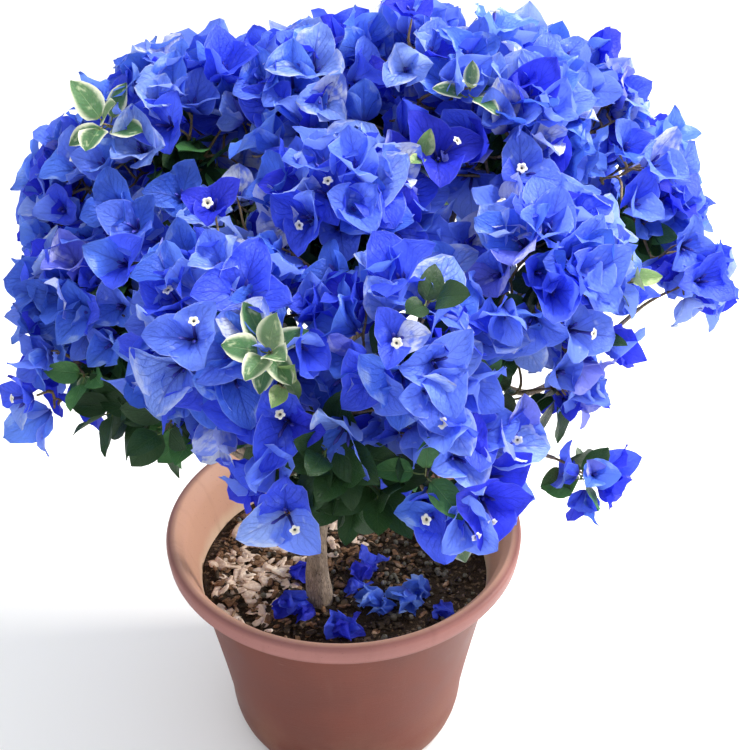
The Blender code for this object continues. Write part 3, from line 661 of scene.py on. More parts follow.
def soil_height(x, y):
    """Surface of the soil: slow waves, faded out round the trunk."""
    waves = np.sin(41 * x + 9 * y + 1.1) + np.sin(-17 * x + 47 * y + 0.4)
    waves = waves + 0.7 * np.sin(83 * x + 61 * y)
    away = np.hypot(x - FOOT[0], y - FOOT[1])
    fade = np.clip((away - TRUNK_FLAT) / TRUNK_FLAT, 0, 1)
    return SOIL_LEVEL + SOIL_SWELL * waves / 2.7 * fade


def body_radius(height):
    """Outer radius of the pot's body: straight taper drawn in by a power curve."""
    share = (height - WAIST_HEIGHT) / (POT_HEIGHT - LIP_HEIGHT - WAIST_HEIGHT)
    return WAIST_RADIUS + (SHOULDER_RADIUS - WAIST_RADIUS) * np.maximum(share, 0.0) ** BODY_CURVE


def inner_radius(height):
    """Inner radius of the pot: the body less its wall, flaring to the mouth."""
    flare = np.maximum(0.0, (height - SOIL_LEVEL) / (POT_HEIGHT - SOIL_LEVEL))
    widening = MOUTH_RADIUS - 0.001 - body_radius(POT_HEIGHT) + WALL
    return body_radius(height) - WALL + widening * flare ** 2


def build_soil(material):
    """A bed of clods: the solid's own surface plus noise of three sizes, on rings that close
    at the middle and dip at the wall, with a skirt down inside the pot."""
    rings, spokes = 70, 200
    side = inner_radius(SOIL_LEVEL) - GAP
    radius = side * np.linspace(0.004, 1, rings)[:, None]
    angle = 2 * math.pi * np.arange(spokes) / spokes
    x, y = radius * np.cos(angle), radius * np.sin(angle)
    place = np.stack([x, y, np.zeros_like(x)], axis=-1)
    clods = (0.0016 * lattice_noise(place, 95, 60) + 0.0011 * np.abs(lattice_noise(place, 230, 61))
             + 0.0006 * lattice_noise(place, 520, 62))
    high = soil_height(x, y) + clods * smooth_step(side - radius, 0.0, 0.006)
    surface = np.stack([x, y, high], axis=-1)
    skirt = surface[-1:].repeat(2, axis=0)
    skirt[0, :, 2] = SOIL_LEVEL - 0.004
    skirt[1] *= ((inner_radius(SOIL_LEVEL - SKIRT) - GAP) / side,) * 2 + (1,)
    skirt[1, :, 2] = SOIL_LEVEL - SKIRT
    verts = np.vstack([surface.reshape(-1, 3), skirt.reshape(-1, 3),
                       [(0, 0, surface[0, :, 2].mean()), (0, 0, SOIL_LEVEL - SKIRT)]])
    faces = grid_quads(1, rings + 2, spokes, closed=True).tolist()
    faces += fan(len(verts) - 2, 0, spokes)
    faces += fan(len(verts) - 1, (rings + 1) * spokes, spokes, turned=True)
    piece = add_piece("soil_bed", verts, faces, material)
    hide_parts("soil")


def lumps(centres, turns, sizes, square, rough, seed):
    """Chips and stones: a ball's grid with each coordinate raised to a power, which squares it
    off, then scaled, roughened by noise and turned to lie on the soil."""
    rows, columns = 7, 10
    climb = np.linspace(-math.pi / 2, math.pi / 2, rows)[:, None]
    angle = 2 * math.pi * np.arange(columns) / columns
    ball = np.stack([np.cos(climb) * np.cos(angle), np.cos(climb) * np.sin(angle),
                     np.broadcast_to(np.sin(climb), (rows, columns))], axis=-1)
    ball = np.sign(ball) * np.abs(ball) ** square
    count = len(centres)
    shape = np.broadcast_to(ball, (count, rows, columns, 3))
    place = shape * 1.3 + np.arange(count)[:, None, None, None] * 3.7
    bumps = np.stack([lattice_noise(place, 1.1, seed + k) for k in range(3)], axis=-1)
    bumps[:, [0, -1]] = bumps[:, [0, -1], :1]
    shape = (shape + rough * bumps) * sizes[:, None, None]
    return (np.einsum("nij,nrcj->nrci", turns, shape) + centres[:, None, None],
            grid_quads(count, rows, columns, closed=True))


def lying_turns(count, tilt, rng):
    """Turning matrices for things that lie about: any bearing, tipped a little off level."""
    spin = rng.uniform(0, 2 * math.pi, count)
    normal = unit(np.stack([rng.normal(0, tilt, count), rng.normal(0, tilt, count),
                            np.ones(count)], axis=1))
    first = np.stack([np.cos(spin), np.sin(spin), np.zeros(count)], axis=1)
    first = unit(first - (first * normal).sum(1, keepdims=True) * normal)
    return np.stack([first, np.cross(normal, first), normal], axis=-1)


def scattered(count, spread, centre, rng, clear=0.0115):
    """Places on the soil about a centre, clear of the trunk and of the pot's wall."""
    spots = centre + rng.normal(0, 1, (count * 6, 2)) * spread
    room = np.hypot(*spots.T) < inner_radius(SOIL_LEVEL) - WALL_CLEAR
    room &= np.hypot(spots[:, 0] - FOOT[0], spots[:, 1] - FOOT[1]) > clear
    spots = spots[room][:count]
    return np.column_stack([spots, soil_height(*spots.T)])


# ---------- the pot ----------

def pot_profile():
    """Inside from the middle of the floor up to the mouth, over the lip, and down the outside
    to the flat underside, as radius and height. The lip is an arch, the body the solid's own
    taper, and the foot a quarter ellipse."""
    inside = np.linspace(WAIST_HEIGHT, POT_HEIGHT - 0.006, 16)
    rows = [(POLE, FLOOR), (0.05, FLOOR), (FOOT_RADIUS - WALL - 0.003, FLOOR),
            (FOOT_RADIUS - WALL + 0.001, FLOOR + 0.0015),
            (WAIST_RADIUS - WALL - 0.002, WAIST_HEIGHT - 0.012)]
    rows += [(inner_radius(z), z) for z in inside]
    rows += [(MOUTH_RADIUS - 0.0004, POT_HEIGHT - 0.0030),
             (MOUTH_RADIUS + 0.0004, POT_HEIGHT - 0.0012),
             (MOUTH_RADIUS + 0.0016, POT_HEIGHT - 0.0003), (MOUTH_RADIUS + 0.003, POT_HEIGHT)]
    turn = np.linspace(0, math.pi / 2, 6)
    rows += [(RIM_RADIUS - LIP_ROUND + LIP_ROUND * math.sin(a),
              POT_HEIGHT - LIP_ROUND + LIP_ROUND * math.cos(a)) for a in turn]
    under = POT_HEIGHT - LIP_HEIGHT
    rows += [(RIM_RADIUS - 0.0003, under + 0.008), (RIM_RADIUS - 0.0010, under + 0.0022),
             (RIM_RADIUS - 0.0018, under + 0.0006), (RIM_RADIUS - 0.0035, under)]
    rows += [(SHOULDER_RADIUS + 0.0022, under + 0.0002), (SHOULDER_RADIUS + 0.0006, under - 0.0008)]
    rows += [(body_radius(z), z) for z in np.linspace(under - 0.003, WAIST_HEIGHT, 22)]
    turn = np.linspace(0, math.pi / 2, 9)[1:]
    rows += [(FOOT_RADIUS + (WAIST_RADIUS - FOOT_RADIUS) * math.cos(a),
              WAIST_HEIGHT * (1 - math.sin(a))) for a in turn]
    rows += [(FOOT_RADIUS - 0.006, 0.0), (FOOT_RADIUS - 0.008, RECESS), (0.04, RECESS),
             (POLE, RECESS)]
    return np.array(rows)


def build_pot(material):
    """The profile turned round, a little off round towards the rim, closed at both ends, with
    the drain holes cut by Booleans. An attribute marks the inside."""
    profile = pot_profile()
    spokes = 144
    angle = 2 * math.pi * np.arange(spokes) / spokes
    wander = 1 + 0.0022 * np.sin(2 * angle + 0.5) * smooth_step(profile[:, 1:], 0.10, 0.22)
    radius = profile[:, :1] * wander
    verts = np.stack([radius * np.cos(angle), radius * np.sin(angle),
                      np.broadcast_to(profile[:, 1:], radius.shape)], axis=-1)
    limit = RIM_RADIUS / max(np.abs(verts[..., 0]).max(), np.abs(verts[..., 1]).max())
    verts[..., :2] *= min(1.0, limit)
    rows = len(profile)
    points = np.vstack([verts.reshape(-1, 3), [(0, 0, FLOOR), (0, 0, RECESS)]])
    faces = grid_quads(1, rows, spokes, closed=True).tolist()
    faces += fan(rows * spokes, 0, spokes)
    faces += fan(rows * spokes + 1, (rows - 1) * spokes, spokes, turned=True)
    piece = add_piece("pot_shell", points, faces, material)
    mouth = int(np.argmax(profile[:, 1]))
    within = smooth_step(mouth + 2.0 - np.arange(rows), 0.0, 3.0)
    layer = piece.data.attributes.new("within", "FLOAT", "POINT")
    layer.data.foreach_set("value", np.append(np.repeat(within, spokes), [1.0, 0.0]))
    cutters = []
    for number in range(DRAIN_COUNT):
        turn = 2 * math.pi * (number + 0.5) / DRAIN_COUNT
        spot = (DRAIN_CIRCLE * math.cos(turn), DRAIN_CIRCLE * math.sin(turn), FLOOR / 2)
        bpy.ops.mesh.primitive_cylinder_add(vertices=28, radius=DRAIN_RADIUS, depth=0.02,
                                            location=spot)
        cutter = bpy.context.object
        cut = piece.modifiers.new("drain", "BOOLEAN")
        cut.operation = "DIFFERENCE"
        cut.object = cutter
        cutters.append(cutter)
    graph = bpy.context.evaluated_depsgraph_get()
    finished = bpy.data.meshes.new_from_object(piece.evaluated_get(graph))
    piece.modifiers.clear()
    piece.data = finished
    for cutter in cutters:
        bpy.data.objects.remove(cutter, do_unlink=True)
    finished.shade_smooth()
    finished.set_sharp_from_angle(angle=math.radians(48))
    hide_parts("pot")


# ---------- shader tools ----------

def add_node(tree, kind, inputs=None, **settings):
    """A shader node with its settings; an input is a value, or a socket to link from."""
    made = tree.nodes.new(kind)
    for name, value in settings.items():
        setattr(made, name, value)
    for key, value in (inputs or {}).items():
        if isinstance(value, bpy.types.NodeSocket):
            tree.links.new(value, made.inputs[key])
        else:
            made.inputs[key].default_value = value
    return made


def maths(tree, operation, first, second=0.0, third=0.0, clamp=False):
    """One sum on numbers."""
    inputs = {0: first, 1: second, 2: third}
    return add_node(tree, "ShaderNodeMath", inputs, operation=operation, use_clamp=clamp).outputs[0]


def step_between(tree, value, low, high, start=0.0, end=1.0):
    """A smooth step from start to end while the value goes from low to high."""
    inputs = {"Value": value, "From Min": low, "From Max": high, "To Min": start, "To Max": end}
    return add_node(tree, "ShaderNodeMapRange", inputs,
                    interpolation_type="SMOOTHSTEP").outputs[0]


def blend_colours(tree, share, first, second, way="MIX"):
    """One colour turned into another by a mask."""
    return add_node(tree, "ShaderNodeMix", {0: share, 6: first, 7: second},
                    data_type="RGBA", blend_type=way).outputs[2]


def toned(tree, colour, tone):
    """A colour made darker or lighter by a tone about 1."""
    grey = add_node(tree, "ShaderNodeCombineColor", {"Red": tone, "Green": tone, "Blue": tone})
    return blend_colours(tree, 1.0, colour, grey.outputs[0], "MULTIPLY")


def vector_maths(tree, operation, first, second=(0.0, 0.0, 0.0)):
    """One sum on vectors; a length comes out as a number."""
    made = add_node(tree, "ShaderNodeVectorMath", {0: first, 1: second}, operation=operation)
    return made.outputs["Value" if operation == "LENGTH" else "Vector"]


def split_vector(tree, vector):
    """The x, y and z of a vector."""
    return add_node(tree, "ShaderNodeSeparateXYZ", {"Vector": vector}).outputs


def join_vector(tree, x, y, z):
    """A vector from its x, y and z."""
    return add_node(tree, "ShaderNodeCombineXYZ", {"X": x, "Y": y, "Z": z}).outputs[0]


def noise(tree, vector, scale, detail=3.0, roughness=0.5):
    """Soft noise from 0 to 1, with detail as the number of finer layers."""
    inputs = {"Vector": vector, "Scale": scale, "Detail": detail, "Roughness": roughness}
    return add_node(tree, "ShaderNodeTexNoise", inputs).outputs[0]


def cell_edges(tree, vector, scale):
    """Distance from the edges between the cells of a Voronoi pattern."""
    return add_node(tree, "ShaderNodeTexVoronoi", {"Vector": vector, "Scale": scale},
                    feature="DISTANCE_TO_EDGE").outputs[0]


def stretched(tree, vector, scale):
    """Coordinates scaled by axis; a small scale draws a pattern out."""
    return add_node(tree, "ShaderNodeMapping", {"Vector": vector, "Scale": scale}).outputs[0]


def new_group(name, inputs, outputs):
    """An empty node group with named inputs (kind and value) and outputs (kind)."""
    tree = bpy.data.node_groups.new(name, "ShaderNodeTree")
    kinds = {"colour": "NodeSocketColor", "number": "NodeSocketFloat", "vector": "NodeSocketVector"}
    for label, (kind, value) in inputs.items():
        socket = tree.interface.new_socket(label, in_out="INPUT", socket_type=kinds[kind])
        if value is not None:
            socket.default_value = value
    for label, kind in outputs.items():
        tree.interface.new_socket(label, in_out="OUTPUT", socket_type=kinds[kind])
    ins, outs = tree.nodes.new("NodeGroupInput"), tree.nodes.new("NodeGroupOutput")
    return tree, ins.outputs, lambda label, socket: tree.links.new(socket, outs.inputs[label])


def place_group(tree, group, **inputs):
    """A group placed in a material; an input's name has _ for its spaces."""
    made = tree.nodes.new("ShaderNodeGroup")
    made.node_tree = group
    for label, value in inputs.items():
        socket = made.inputs[label.replace("_", " ")]
        if isinstance(value, bpy.types.NodeSocket):
            tree.links.new(value, socket)
        else:
            socket.default_value = value
    return made.outputs


def veins_group():
    """Midrib, side veins and fine net of a bract or leaf, from its own UV.

    Side veins are lines of equal y - slant x, x measured from the midrib, bent by noise; the
    net is the edges of Voronoi cells. A pale patch spreads over one side by noise, a margin
    runs round the edge and the foot has a colour of its own.
    """
    white = (1, 1, 1, 1)
    tree, ins, put = new_group("blade_veins", {
        "UV": ("vector", None), "Blade": ("colour", white), "Vein": ("colour", white),
        "Margin": ("colour", white), "Foot": ("colour", white), "Patch": ("colour", white),
        "Vein strength": ("number", 0.5), "Side veins": ("number", 7.0),
        "Slant": ("number", 0.45), "Margin width": ("number", 0.06),
        "Foot reach": ("number", 0.2), "Patch cover": ("number", 0.0),
        "Mottle": ("number", 0.1), "Net": ("number", 0.4), "Turn": ("number", 0.0)},
        {"Colour": "colour", "Height": "number", "Rough": "number"})
    shift = join_vector(tree, ins["Turn"], ins["Turn"], 0.0)
    moved = vector_maths(tree, "ADD", ins["UV"], shift)
    split = split_vector(tree, ins["UV"])
    bent = noise(tree, moved, 5.0, 2.0)
    sway = maths(tree, "MULTIPLY", maths(tree, "SUBTRACT", bent, 0.5), 0.09)
    swayed = maths(tree, "ADD", split[0], maths(tree, "MULTIPLY", sway, 0.35))
    away = maths(tree, "ABSOLUTE", maths(tree, "SUBTRACT", swayed, 0.5))
    away = maths(tree, "MULTIPLY", away, 2.0)
    taper = maths(tree, "MULTIPLY_ADD", split[1], -0.055, 0.075)
    midrib = step_between(tree, maths(tree, "DIVIDE", away, taper), 0.35, 1.0, 1.0, 0.0)
    slope = maths(tree, "SUBTRACT", maths(tree, "ADD", split[1], sway),
                  maths(tree, "MULTIPLY", away, ins["Slant"]))
    beat = maths(tree, "FRACT", maths(tree, "MULTIPLY", slope, ins["Side veins"]))
    line = maths(tree, "ABSOLUTE", maths(tree, "SUBTRACT", beat, 0.5))
    side = step_between(tree, line, 0.055, 0.012)
    side = maths(tree, "MULTIPLY", side, step_between(tree, away, 1.0, 0.55))
    cells = cell_edges(tree, stretched(tree, moved, (1.0, 1.25, 1.0)), 15.0)
    net = maths(tree, "MULTIPLY", step_between(tree, cells, 0.075, 0.02), ins["Net"])
    veins = maths(tree, "MAXIMUM", midrib, maths(tree, "MULTIPLY", side, 0.75))
    veins = maths(tree, "MAXIMUM", veins, maths(tree, "MULTIPLY", net, 0.6))
    # the pale patch: on the near-white bract colour it is a painted highlight, glare on a fold
    cloud = noise(tree, moved, 3.1, 2.0, 0.6)
    pulled = maths(tree, "MULTIPLY_ADD", split[0], 0.35, cloud)
    reach = maths(tree, "SUBTRACT", 1.12, ins["Patch cover"])
    patch = step_between(tree, maths(tree, "SUBTRACT", pulled, reach), -0.10, 0.12)
    tone = maths(tree, "MULTIPLY_ADD", maths(tree, "SUBTRACT", noise(tree, moved, 9.0, 1.0), 0.5),
                 ins["Mottle"], 1.0)
    edge = step_between(tree, away, maths(tree, "SUBTRACT", 1.0, ins["Margin width"]), 1.0)
    foot = step_between(tree, split[1], ins["Foot reach"], 0.0)
    colour = blend_colours(tree, patch, ins["Blade"], ins["Patch"])
    colour = toned(tree, colour, tone)
    colour = blend_colours(tree, maths(tree, "MULTIPLY", veins, ins["Vein strength"]),
                           colour, ins["Vein"])
    colour = blend_colours(tree, edge, colour, ins["Margin"])
    colour = blend_colours(tree, foot, colour, ins["Foot"])
    put("Colour", colour)
    crinkle = maths(tree, "MULTIPLY", noise(tree, moved, 12.0, 2.0), 0.55)
    put("Height", maths(tree, "SUBTRACT", crinkle, maths(tree, "MULTIPLY", veins, 0.8)))
    put("Rough", maths(tree, "MULTIPLY", cloud, 0.25))
    return tree


def bark_group():
    """Fissured bark from Object coordinates: noise drawn out along z for the ridges, Voronoi
    cell edges for cracks, and clouds of lichen-pale and damp-dark tone."""
    grey = (0.2, 0.2, 0.2, 1)
    tree, ins, put = new_group("fissured_bark", {
        "Place": ("vector", None), "Ridge": ("colour", grey), "Crack": ("colour", grey),
        "Pale": ("colour", grey), "Scale": ("number", 1.0), "Stretch": ("number", 0.2),
        "Crack depth": ("number", 0.6), "Pale cover": ("number", 0.35)},
        {"Colour": "colour", "Height": "number", "Rough": "number"})
    squash = join_vector(tree, 1.0, 1.0, ins["Stretch"])
    drawn = vector_maths(tree, "MULTIPLY", ins["Place"], squash)
    fine = noise(tree, drawn, maths(tree, "MULTIPLY", ins["Scale"], 900.0), 5.0, 0.62)
    coarse = noise(tree, drawn, maths(tree, "MULTIPLY", ins["Scale"], 240.0), 3.0, 0.5)
    cells = cell_edges(tree, drawn, maths(tree, "MULTIPLY", ins["Scale"], 330.0))
    crack = maths(tree, "MULTIPLY", step_between(tree, cells, 0.10, 0.01), ins["Crack depth"])
    crack = maths(tree, "MAXIMUM", crack, step_between(tree, fine, 0.46, 0.34))
    cloud = noise(tree, ins["Place"], 46.0, 4.0, 0.6)
    pale = maths(tree, "MULTIPLY", step_between(tree, cloud, 0.45, 0.68), ins["Pale cover"])
    colour = blend_colours(tree, pale, ins["Ridge"], ins["Pale"])
    colour = toned(tree, colour, step_between(tree, coarse, 0.3, 0.7, 0.72, 1.18))
    put("Colour", blend_colours(tree, crack, colour, ins["Crack"]))
    put("Height", maths(tree, "SUBTRACT", maths(tree, "MULTIPLY_ADD", coarse, 0.6, fine), crack))
    put("Rough", step_between(tree, fine, 0.3, 0.7, 0.78, 0.96))
    return tree


def dust_group():
    """Dust and soil specks over a colour: a broad cloud, gathered towards a height, and fine
    specks from the tips of high-frequency noise."""
    grey = (0.2, 0.2, 0.2, 1)
    tree, ins, put = new_group("dust_and_specks", {
        "Place": ("vector", None), "Under": ("colour", grey), "Dust": ("colour", grey),
        "Cover": ("number", 0.3), "Speck": ("colour", grey), "Specks": ("number", 0.3),
        "Low": ("number", 0.0), "High": ("number", 0.1)},
        {"Colour": "colour", "Mask": "number"})
    high = split_vector(tree, ins["Place"])[2]
    gather = step_between(tree, high, ins["Low"], ins["High"])
    cloud = step_between(tree, noise(tree, ins["Place"], 21.0, 5.0, 0.62), 0.36, 0.74)
    mask = maths(tree, "MULTIPLY", maths(tree, "MULTIPLY", cloud, gather), ins["Cover"], clamp=True)
    grains = step_between(tree, noise(tree, ins["Place"], 620.0, 2.0, 0.5), 0.66, 0.72)
    specks = maths(tree, "MULTIPLY", grains, ins["Specks"], clamp=True)
    colour = blend_colours(tree, mask, ins["Under"], ins["Dust"])
    put("Colour", blend_colours(tree, specks, colour, ins["Speck"]))
    put("Mask", maths(tree, "MAXIMUM", mask, specks))
    return tree


def new_material(name):
    """A material with its tree, its Principled shader and its output."""
    material = bpy.data.materials.new(name)
    material.use_nodes = True
    tree = material.node_tree
    nodes = tree.nodes
    return material, tree, nodes["Principled BSDF"], nodes["Material Output"]


def object_place(tree):
    """Coordinates in the plant's own frame, in metres."""
    return add_node(tree, "ShaderNodeTexCoord").outputs["Object"]


def own_uv(tree):
    """The piece's own UV map."""
    return add_node(tree, "ShaderNodeUVMap", uv_map="OFBake").outputs[0]


def dress(tree, shader, colour, rough, gloss=0.5):
    """Colour and roughness from the nodes, and one specular level all over."""
    tree.links.new(colour, shader.inputs["Base Color"])
    tree.links.new(rough, shader.inputs["Roughness"])
    shader.inputs["Specular IOR Level"].default_value = gloss


def bump(tree, shader, height, distance):
    """Relief from a height, in metres where the height is 1."""
    made = add_node(tree, "ShaderNodeBump", {"Height": height, "Distance": distance,
                                             "Strength": 1.0})
    tree.links.new(made.outputs[0], shader.inputs["Normal"])


def light_through(tree, shader, output, share, colour):
    """Mixes in the light that comes through a thin blade from behind."""
    through = add_node(tree, "ShaderNodeBsdfTranslucent", {"Color": colour})
    mixer = add_node(tree, "ShaderNodeMixShader", {0: share, 1: shader.outputs[0],
                                                   2: through.outputs[0]})
    tree.links.new(mixer.outputs[0], output.inputs["Surface"])


def solid(colour):
    """A colour with its alpha, for a socket."""
    return (*colour, 1.0)


# ---------- finishes ----------

VEINS, BARK, DUST = veins_group(), bark_group(), dust_group()

# Each bract colour: blade, vein, margin, foot and patch, then how far the patch covers.
# The blues also stand for light and shade: periwinkle and sky are dealt more to the light as
# painted light, deep and teal to the shade as painted shade, and the near-white colour is
# painted glare.
BRACT_COLOURS = {
    "periwinkle": ((0.117, 0.219, 0.940), (0.035, 0.055, 0.62), (0.36, 0.45, 0.95),
                   (0.032, 0.040, 0.52), (0.42, 0.53, 0.97), 0.20),
    "royal": ((0.053, 0.101, 0.880), (0.018, 0.024, 0.50), (0.22, 0.29, 0.90),
               (0.018, 0.022, 0.42), (0.15, 0.23, 0.94), 0.24),
    "deep": ((0.028, 0.042, 0.680), (0.010, 0.012, 0.32), (0.11, 0.15, 0.72),
             (0.012, 0.013, 0.30), (0.060, 0.085, 0.78), 0.20),
    "teal": ((0.044, 0.120, 0.620), (0.014, 0.034, 0.30), (0.15, 0.28, 0.74),
             (0.014, 0.030, 0.28), (0.10, 0.21, 0.74), 0.24),
    "azure": ((0.081, 0.203, 0.900), (0.024, 0.055, 0.55), (0.27, 0.43, 0.95),
              (0.025, 0.040, 0.46), (0.40, 0.57, 0.97), 0.24),
    "sky": ((0.218, 0.354, 0.940), (0.065, 0.090, 0.72), (0.52, 0.60, 0.97),
            (0.050, 0.065, 0.62), (0.68, 0.76, 0.97), 0.30),
    # near-white colour: a painted highlight, its pale patch over half the bract standing in for
    # glare on a fold
    "painted_glare": ((0.132, 0.224, 0.890), (0.060, 0.090, 0.68), (0.64, 0.69, 0.97),
                 (0.035, 0.045, 0.54), (0.82, 0.87, 0.97), 0.50),
    "faded": ((0.144, 0.177, 0.800), (0.065, 0.075, 0.56), (0.48, 0.50, 0.90),
              (0.045, 0.048, 0.46), (0.58, 0.60, 0.88), 0.30),
}

# Each leaf colour: blade, vein, margin, foot and patch, patch cover and margin width.
# Dark and mid are shaded and lit copies of one green: dark is painted shade, mid painted light.
LEAF_COLOURS = {
    "dark": ((0.016, 0.050, 0.014), (0.05, 0.11, 0.04), (0.02, 0.06, 0.02),
             (0.03, 0.07, 0.02), (0.03, 0.085, 0.022), 0.20, 0.05),
    "mid": ((0.050, 0.165, 0.045), (0.15, 0.32, 0.11), (0.09, 0.22, 0.06),
            (0.07, 0.16, 0.04), (0.10, 0.27, 0.08), 0.25, 0.05),
    "variegated": ((0.055, 0.165, 0.055), (0.25, 0.38, 0.17), (0.76, 0.78, 0.58),
                   (0.16, 0.24, 0.08), (0.50, 0.58, 0.34), 0.26, 0.46),
    "young": ((0.17, 0.31, 0.09), (0.36, 0.46, 0.20), (0.44, 0.42, 0.20),
              (0.30, 0.19, 0.08), (0.40, 0.50, 0.24), 0.35, 0.10),
}
# the dark green is the shaded copy and the mid green the lit copy of one green: painted shade and
# painted light
SHADED_GREEN, LIT_GREEN, VARIEGATED, YOUNG = range(len(LEAF_COLOURS))

# Each wood: ridge, crack and pale colour, then scale, stretch, crack depth, pale cover, relief.
WOODS = {
    "bark": ((0.300, 0.235, 0.180), (0.105, 0.075, 0.052), (0.44, 0.38, 0.31),
             1.25, 0.22, 0.45, 0.55, 0.0005),
    "young_wood": ((0.24, 0.17, 0.085), (0.10, 0.065, 0.035), (0.36, 0.30, 0.17),
                   1.6, 0.25, 0.5, 0.6, 0.00025),
    "green_stalk": ((0.15, 0.22, 0.07), (0.09, 0.10, 0.04), (0.28, 0.20, 0.11),
                    1.4, 0.3, 0.25, 0.5, 0.0001),
}

# Each kind of ground: dark, light and pale colour, then the pattern's scale, dust, relief.
GROUNDS = {
    "potting_mix": ((0.012, 0.008, 0.005), (0.055, 0.034, 0.020), (0.20, 0.135, 0.085),
                    420.0, 0.22, 0.0012),
    "chips_pale": ((0.56, 0.40, 0.30), (0.82, 0.67, 0.54), (0.90, 0.80, 0.68),
                   120, 0.25, 0.0006),
    "chips_brown": ((0.095, 0.050, 0.028), (0.28, 0.160, 0.090), (0.46, 0.32, 0.21),
                    150, 0.25, 0.0006),
    "chips_dark": ((0.014, 0.010, 0.007), (0.060, 0.042, 0.028), (0.16, 0.11, 0.07),
                   170, 0.25, 0.0006),
    "pebbles": ((0.085, 0.080, 0.060), (0.17, 0.160, 0.130), (0.30, 0.28, 0.24),
                210, 0.25, 0.0006),
}

# The parts of a flower, and the pot: two tones of its body and what lies over them.
FLOWER_COLOURS = {
    "tube": (0.020, 0.018, 0.20), "mouth": (0.075, 0.080, 0.50), "rib": (0.06, 0.06, 0.42),
    "lobe": (0.84, 0.84, 0.80), "ring": (0.78, 0.70, 0.46), "fold": (0.60, 0.62, 0.50),
    "throat": (0.035, 0.05, 0.02),
}
POT_COLOURS = {
    "body": (0.103, 0.0245, 0.0150), "lighter": (0.141, 0.037, 0.0235),
    # lip: lighter than the body, partly as sun-fade and partly as painted light; inside: painted
    # light, the sun on the inner wall
    "lip": (0.305, 0.135, 0.122), "inside": (0.600, 0.350, 0.250), "tide": (0.66, 0.50, 0.36),
    "scratch": (0.58, 0.36, 0.28), "streak": (0.135, 0.055, 0.040),
    "dust": (0.27, 0.175, 0.12), "speck": (0.07, 0.045, 0.03),
}


def blade_material(name, colours, glow, shine, rough, relief, **look):
    """A bract or leaf: veined colour on a Principled shader, mixed with light that comes
    through the blade. Colours are the blade's, vein's, margin's, foot's and patch's."""
    material, tree, shader, output = new_material(name)
    blade, vein, margin, foot, patch = map(solid, colours)
    made = place_group(tree, VEINS, UV=own_uv(tree), Blade=blade, Vein=vein, Margin=margin,
                       Foot=foot, Patch=patch, Mottle=0.35, **look)
    dress(tree, shader, made["Colour"], maths(tree, "ADD", made["Rough"], rough), 0.32)
    bump(tree, shader, made["Height"], relief)
    light_through(tree, shader, output, glow, solid(shine))
    return material


def bract_material(name):
    """Papery: much light comes through, veins are few and slant, and the margin is narrow."""
    *colours, cover = BRACT_COLOURS[name]
    shine = tuple(0.72 * own + 0.28 * pale for own, pale in zip(colours[0], colours[-1]))
    shine = tuple(min(1.0, 1.25 * part) for part in shine)
    return blade_material(f"bract_{name}", colours, 0.36, shine, 0.42, 0.0015,
                          Patch_cover=cover, Vein_strength=0.46, Side_veins=6.0, Slant=0.55,
                          Margin_width=0.055, Foot_reach=0.22, Net=0.30,
                          Turn=1.7 * list(BRACT_COLOURS).index(name))


def leaf_material(name):
    """Leathery: glossier than a bract, with more veins and less light through it."""
    *colours, cover, width = LEAF_COLOURS[name]
    return blade_material(f"leaf_{name}", colours, 0.14, colours[-1], 0.30, 0.0007,
                          Patch_cover=cover, Vein_strength=0.50, Side_veins=8.0, Slant=0.38,
                          Margin_width=width, Foot_reach=0.10, Net=0.25,
                          Turn=2.3 * list(LEAF_COLOURS).index(name))


def wood_material(name):
    """Bark, young wood or a green stalk, by its own values of the fissured bark."""
    ridge, crack, pale, scale, stretch, depth, cover, relief = WOODS[name]
    material, tree, shader, _ = new_material(name)
    made = place_group(tree, BARK, Place=object_place(tree), Ridge=solid(ridge),
                       Crack=solid(crack), Pale=solid(pale), Scale=scale, Stretch=stretch,
                       Crack_depth=depth, Pale_cover=cover)
    dress(tree, shader, made["Colour"], made["Rough"], 0.25)
    bump(tree, shader, made["Height"], relief)
    return material


def tube_material():
    """Flower tubes: deep indigo with paler ribs, and paler towards the mouth."""
    material, tree, shader, _ = new_material("flower_tube")
    look = {part: solid(colour) for part, colour in FLOWER_COLOURS.items()}
    place = split_vector(tree, own_uv(tree))
    rib = maths(tree, "SINE", maths(tree, "MULTIPLY", place[0], 31.4))
    share = maths(tree, "MULTIPLY", step_between(tree, rib, 0.1, 0.9), 0.45)
    ends = step_between(tree, place[1], 0.45, 1.0)
    colour = blend_colours(tree, ends, look["tube"], look["mouth"])
    colour = blend_colours(tree, share, colour, look["rib"])
    dress(tree, shader, colour, step_between(tree, rib, -1.0, 1.0, 0.62, 0.50))
    bump(tree, shader, rib, 0.0002)
    return material


def star_material():
    """The open limb: dark green throat, a cream ring, white lobes with a faint fold to each."""
    material, tree, shader, output = new_material("flower_star")
    look = {part: solid(colour) for part, colour in FLOWER_COLOURS.items()}
    middle = vector_maths(tree, "SUBTRACT", own_uv(tree), (0.5, 0.5, 0.0))
    away = vector_maths(tree, "LENGTH", middle)
    place = split_vector(tree, middle)
    turn = maths(tree, "ARCTAN2", place[1], place[0])
    fold = maths(tree, "ABSOLUTE", maths(tree, "COSINE", maths(tree, "MULTIPLY", turn, 2.5)))
    fold = maths(tree, "MULTIPLY", step_between(tree, fold, 0.72, 1.0), 0.35)
    ring, throat = step_between(tree, away, 0.42, 0.20), step_between(tree, away, 0.15, 0.11)
    colour = blend_colours(tree, ring, look["lobe"], look["ring"])
    colour = blend_colours(tree, fold, colour, look["fold"])
    colour = blend_colours(tree, throat, colour, look["throat"])
    dress(tree, shader, colour, step_between(tree, away, 0.0, 0.5, 0.7, 0.5))
    bump(tree, shader, fold, 0.0003)
    light_through(tree, shader, output, 0.2, look["lobe"])
    return material


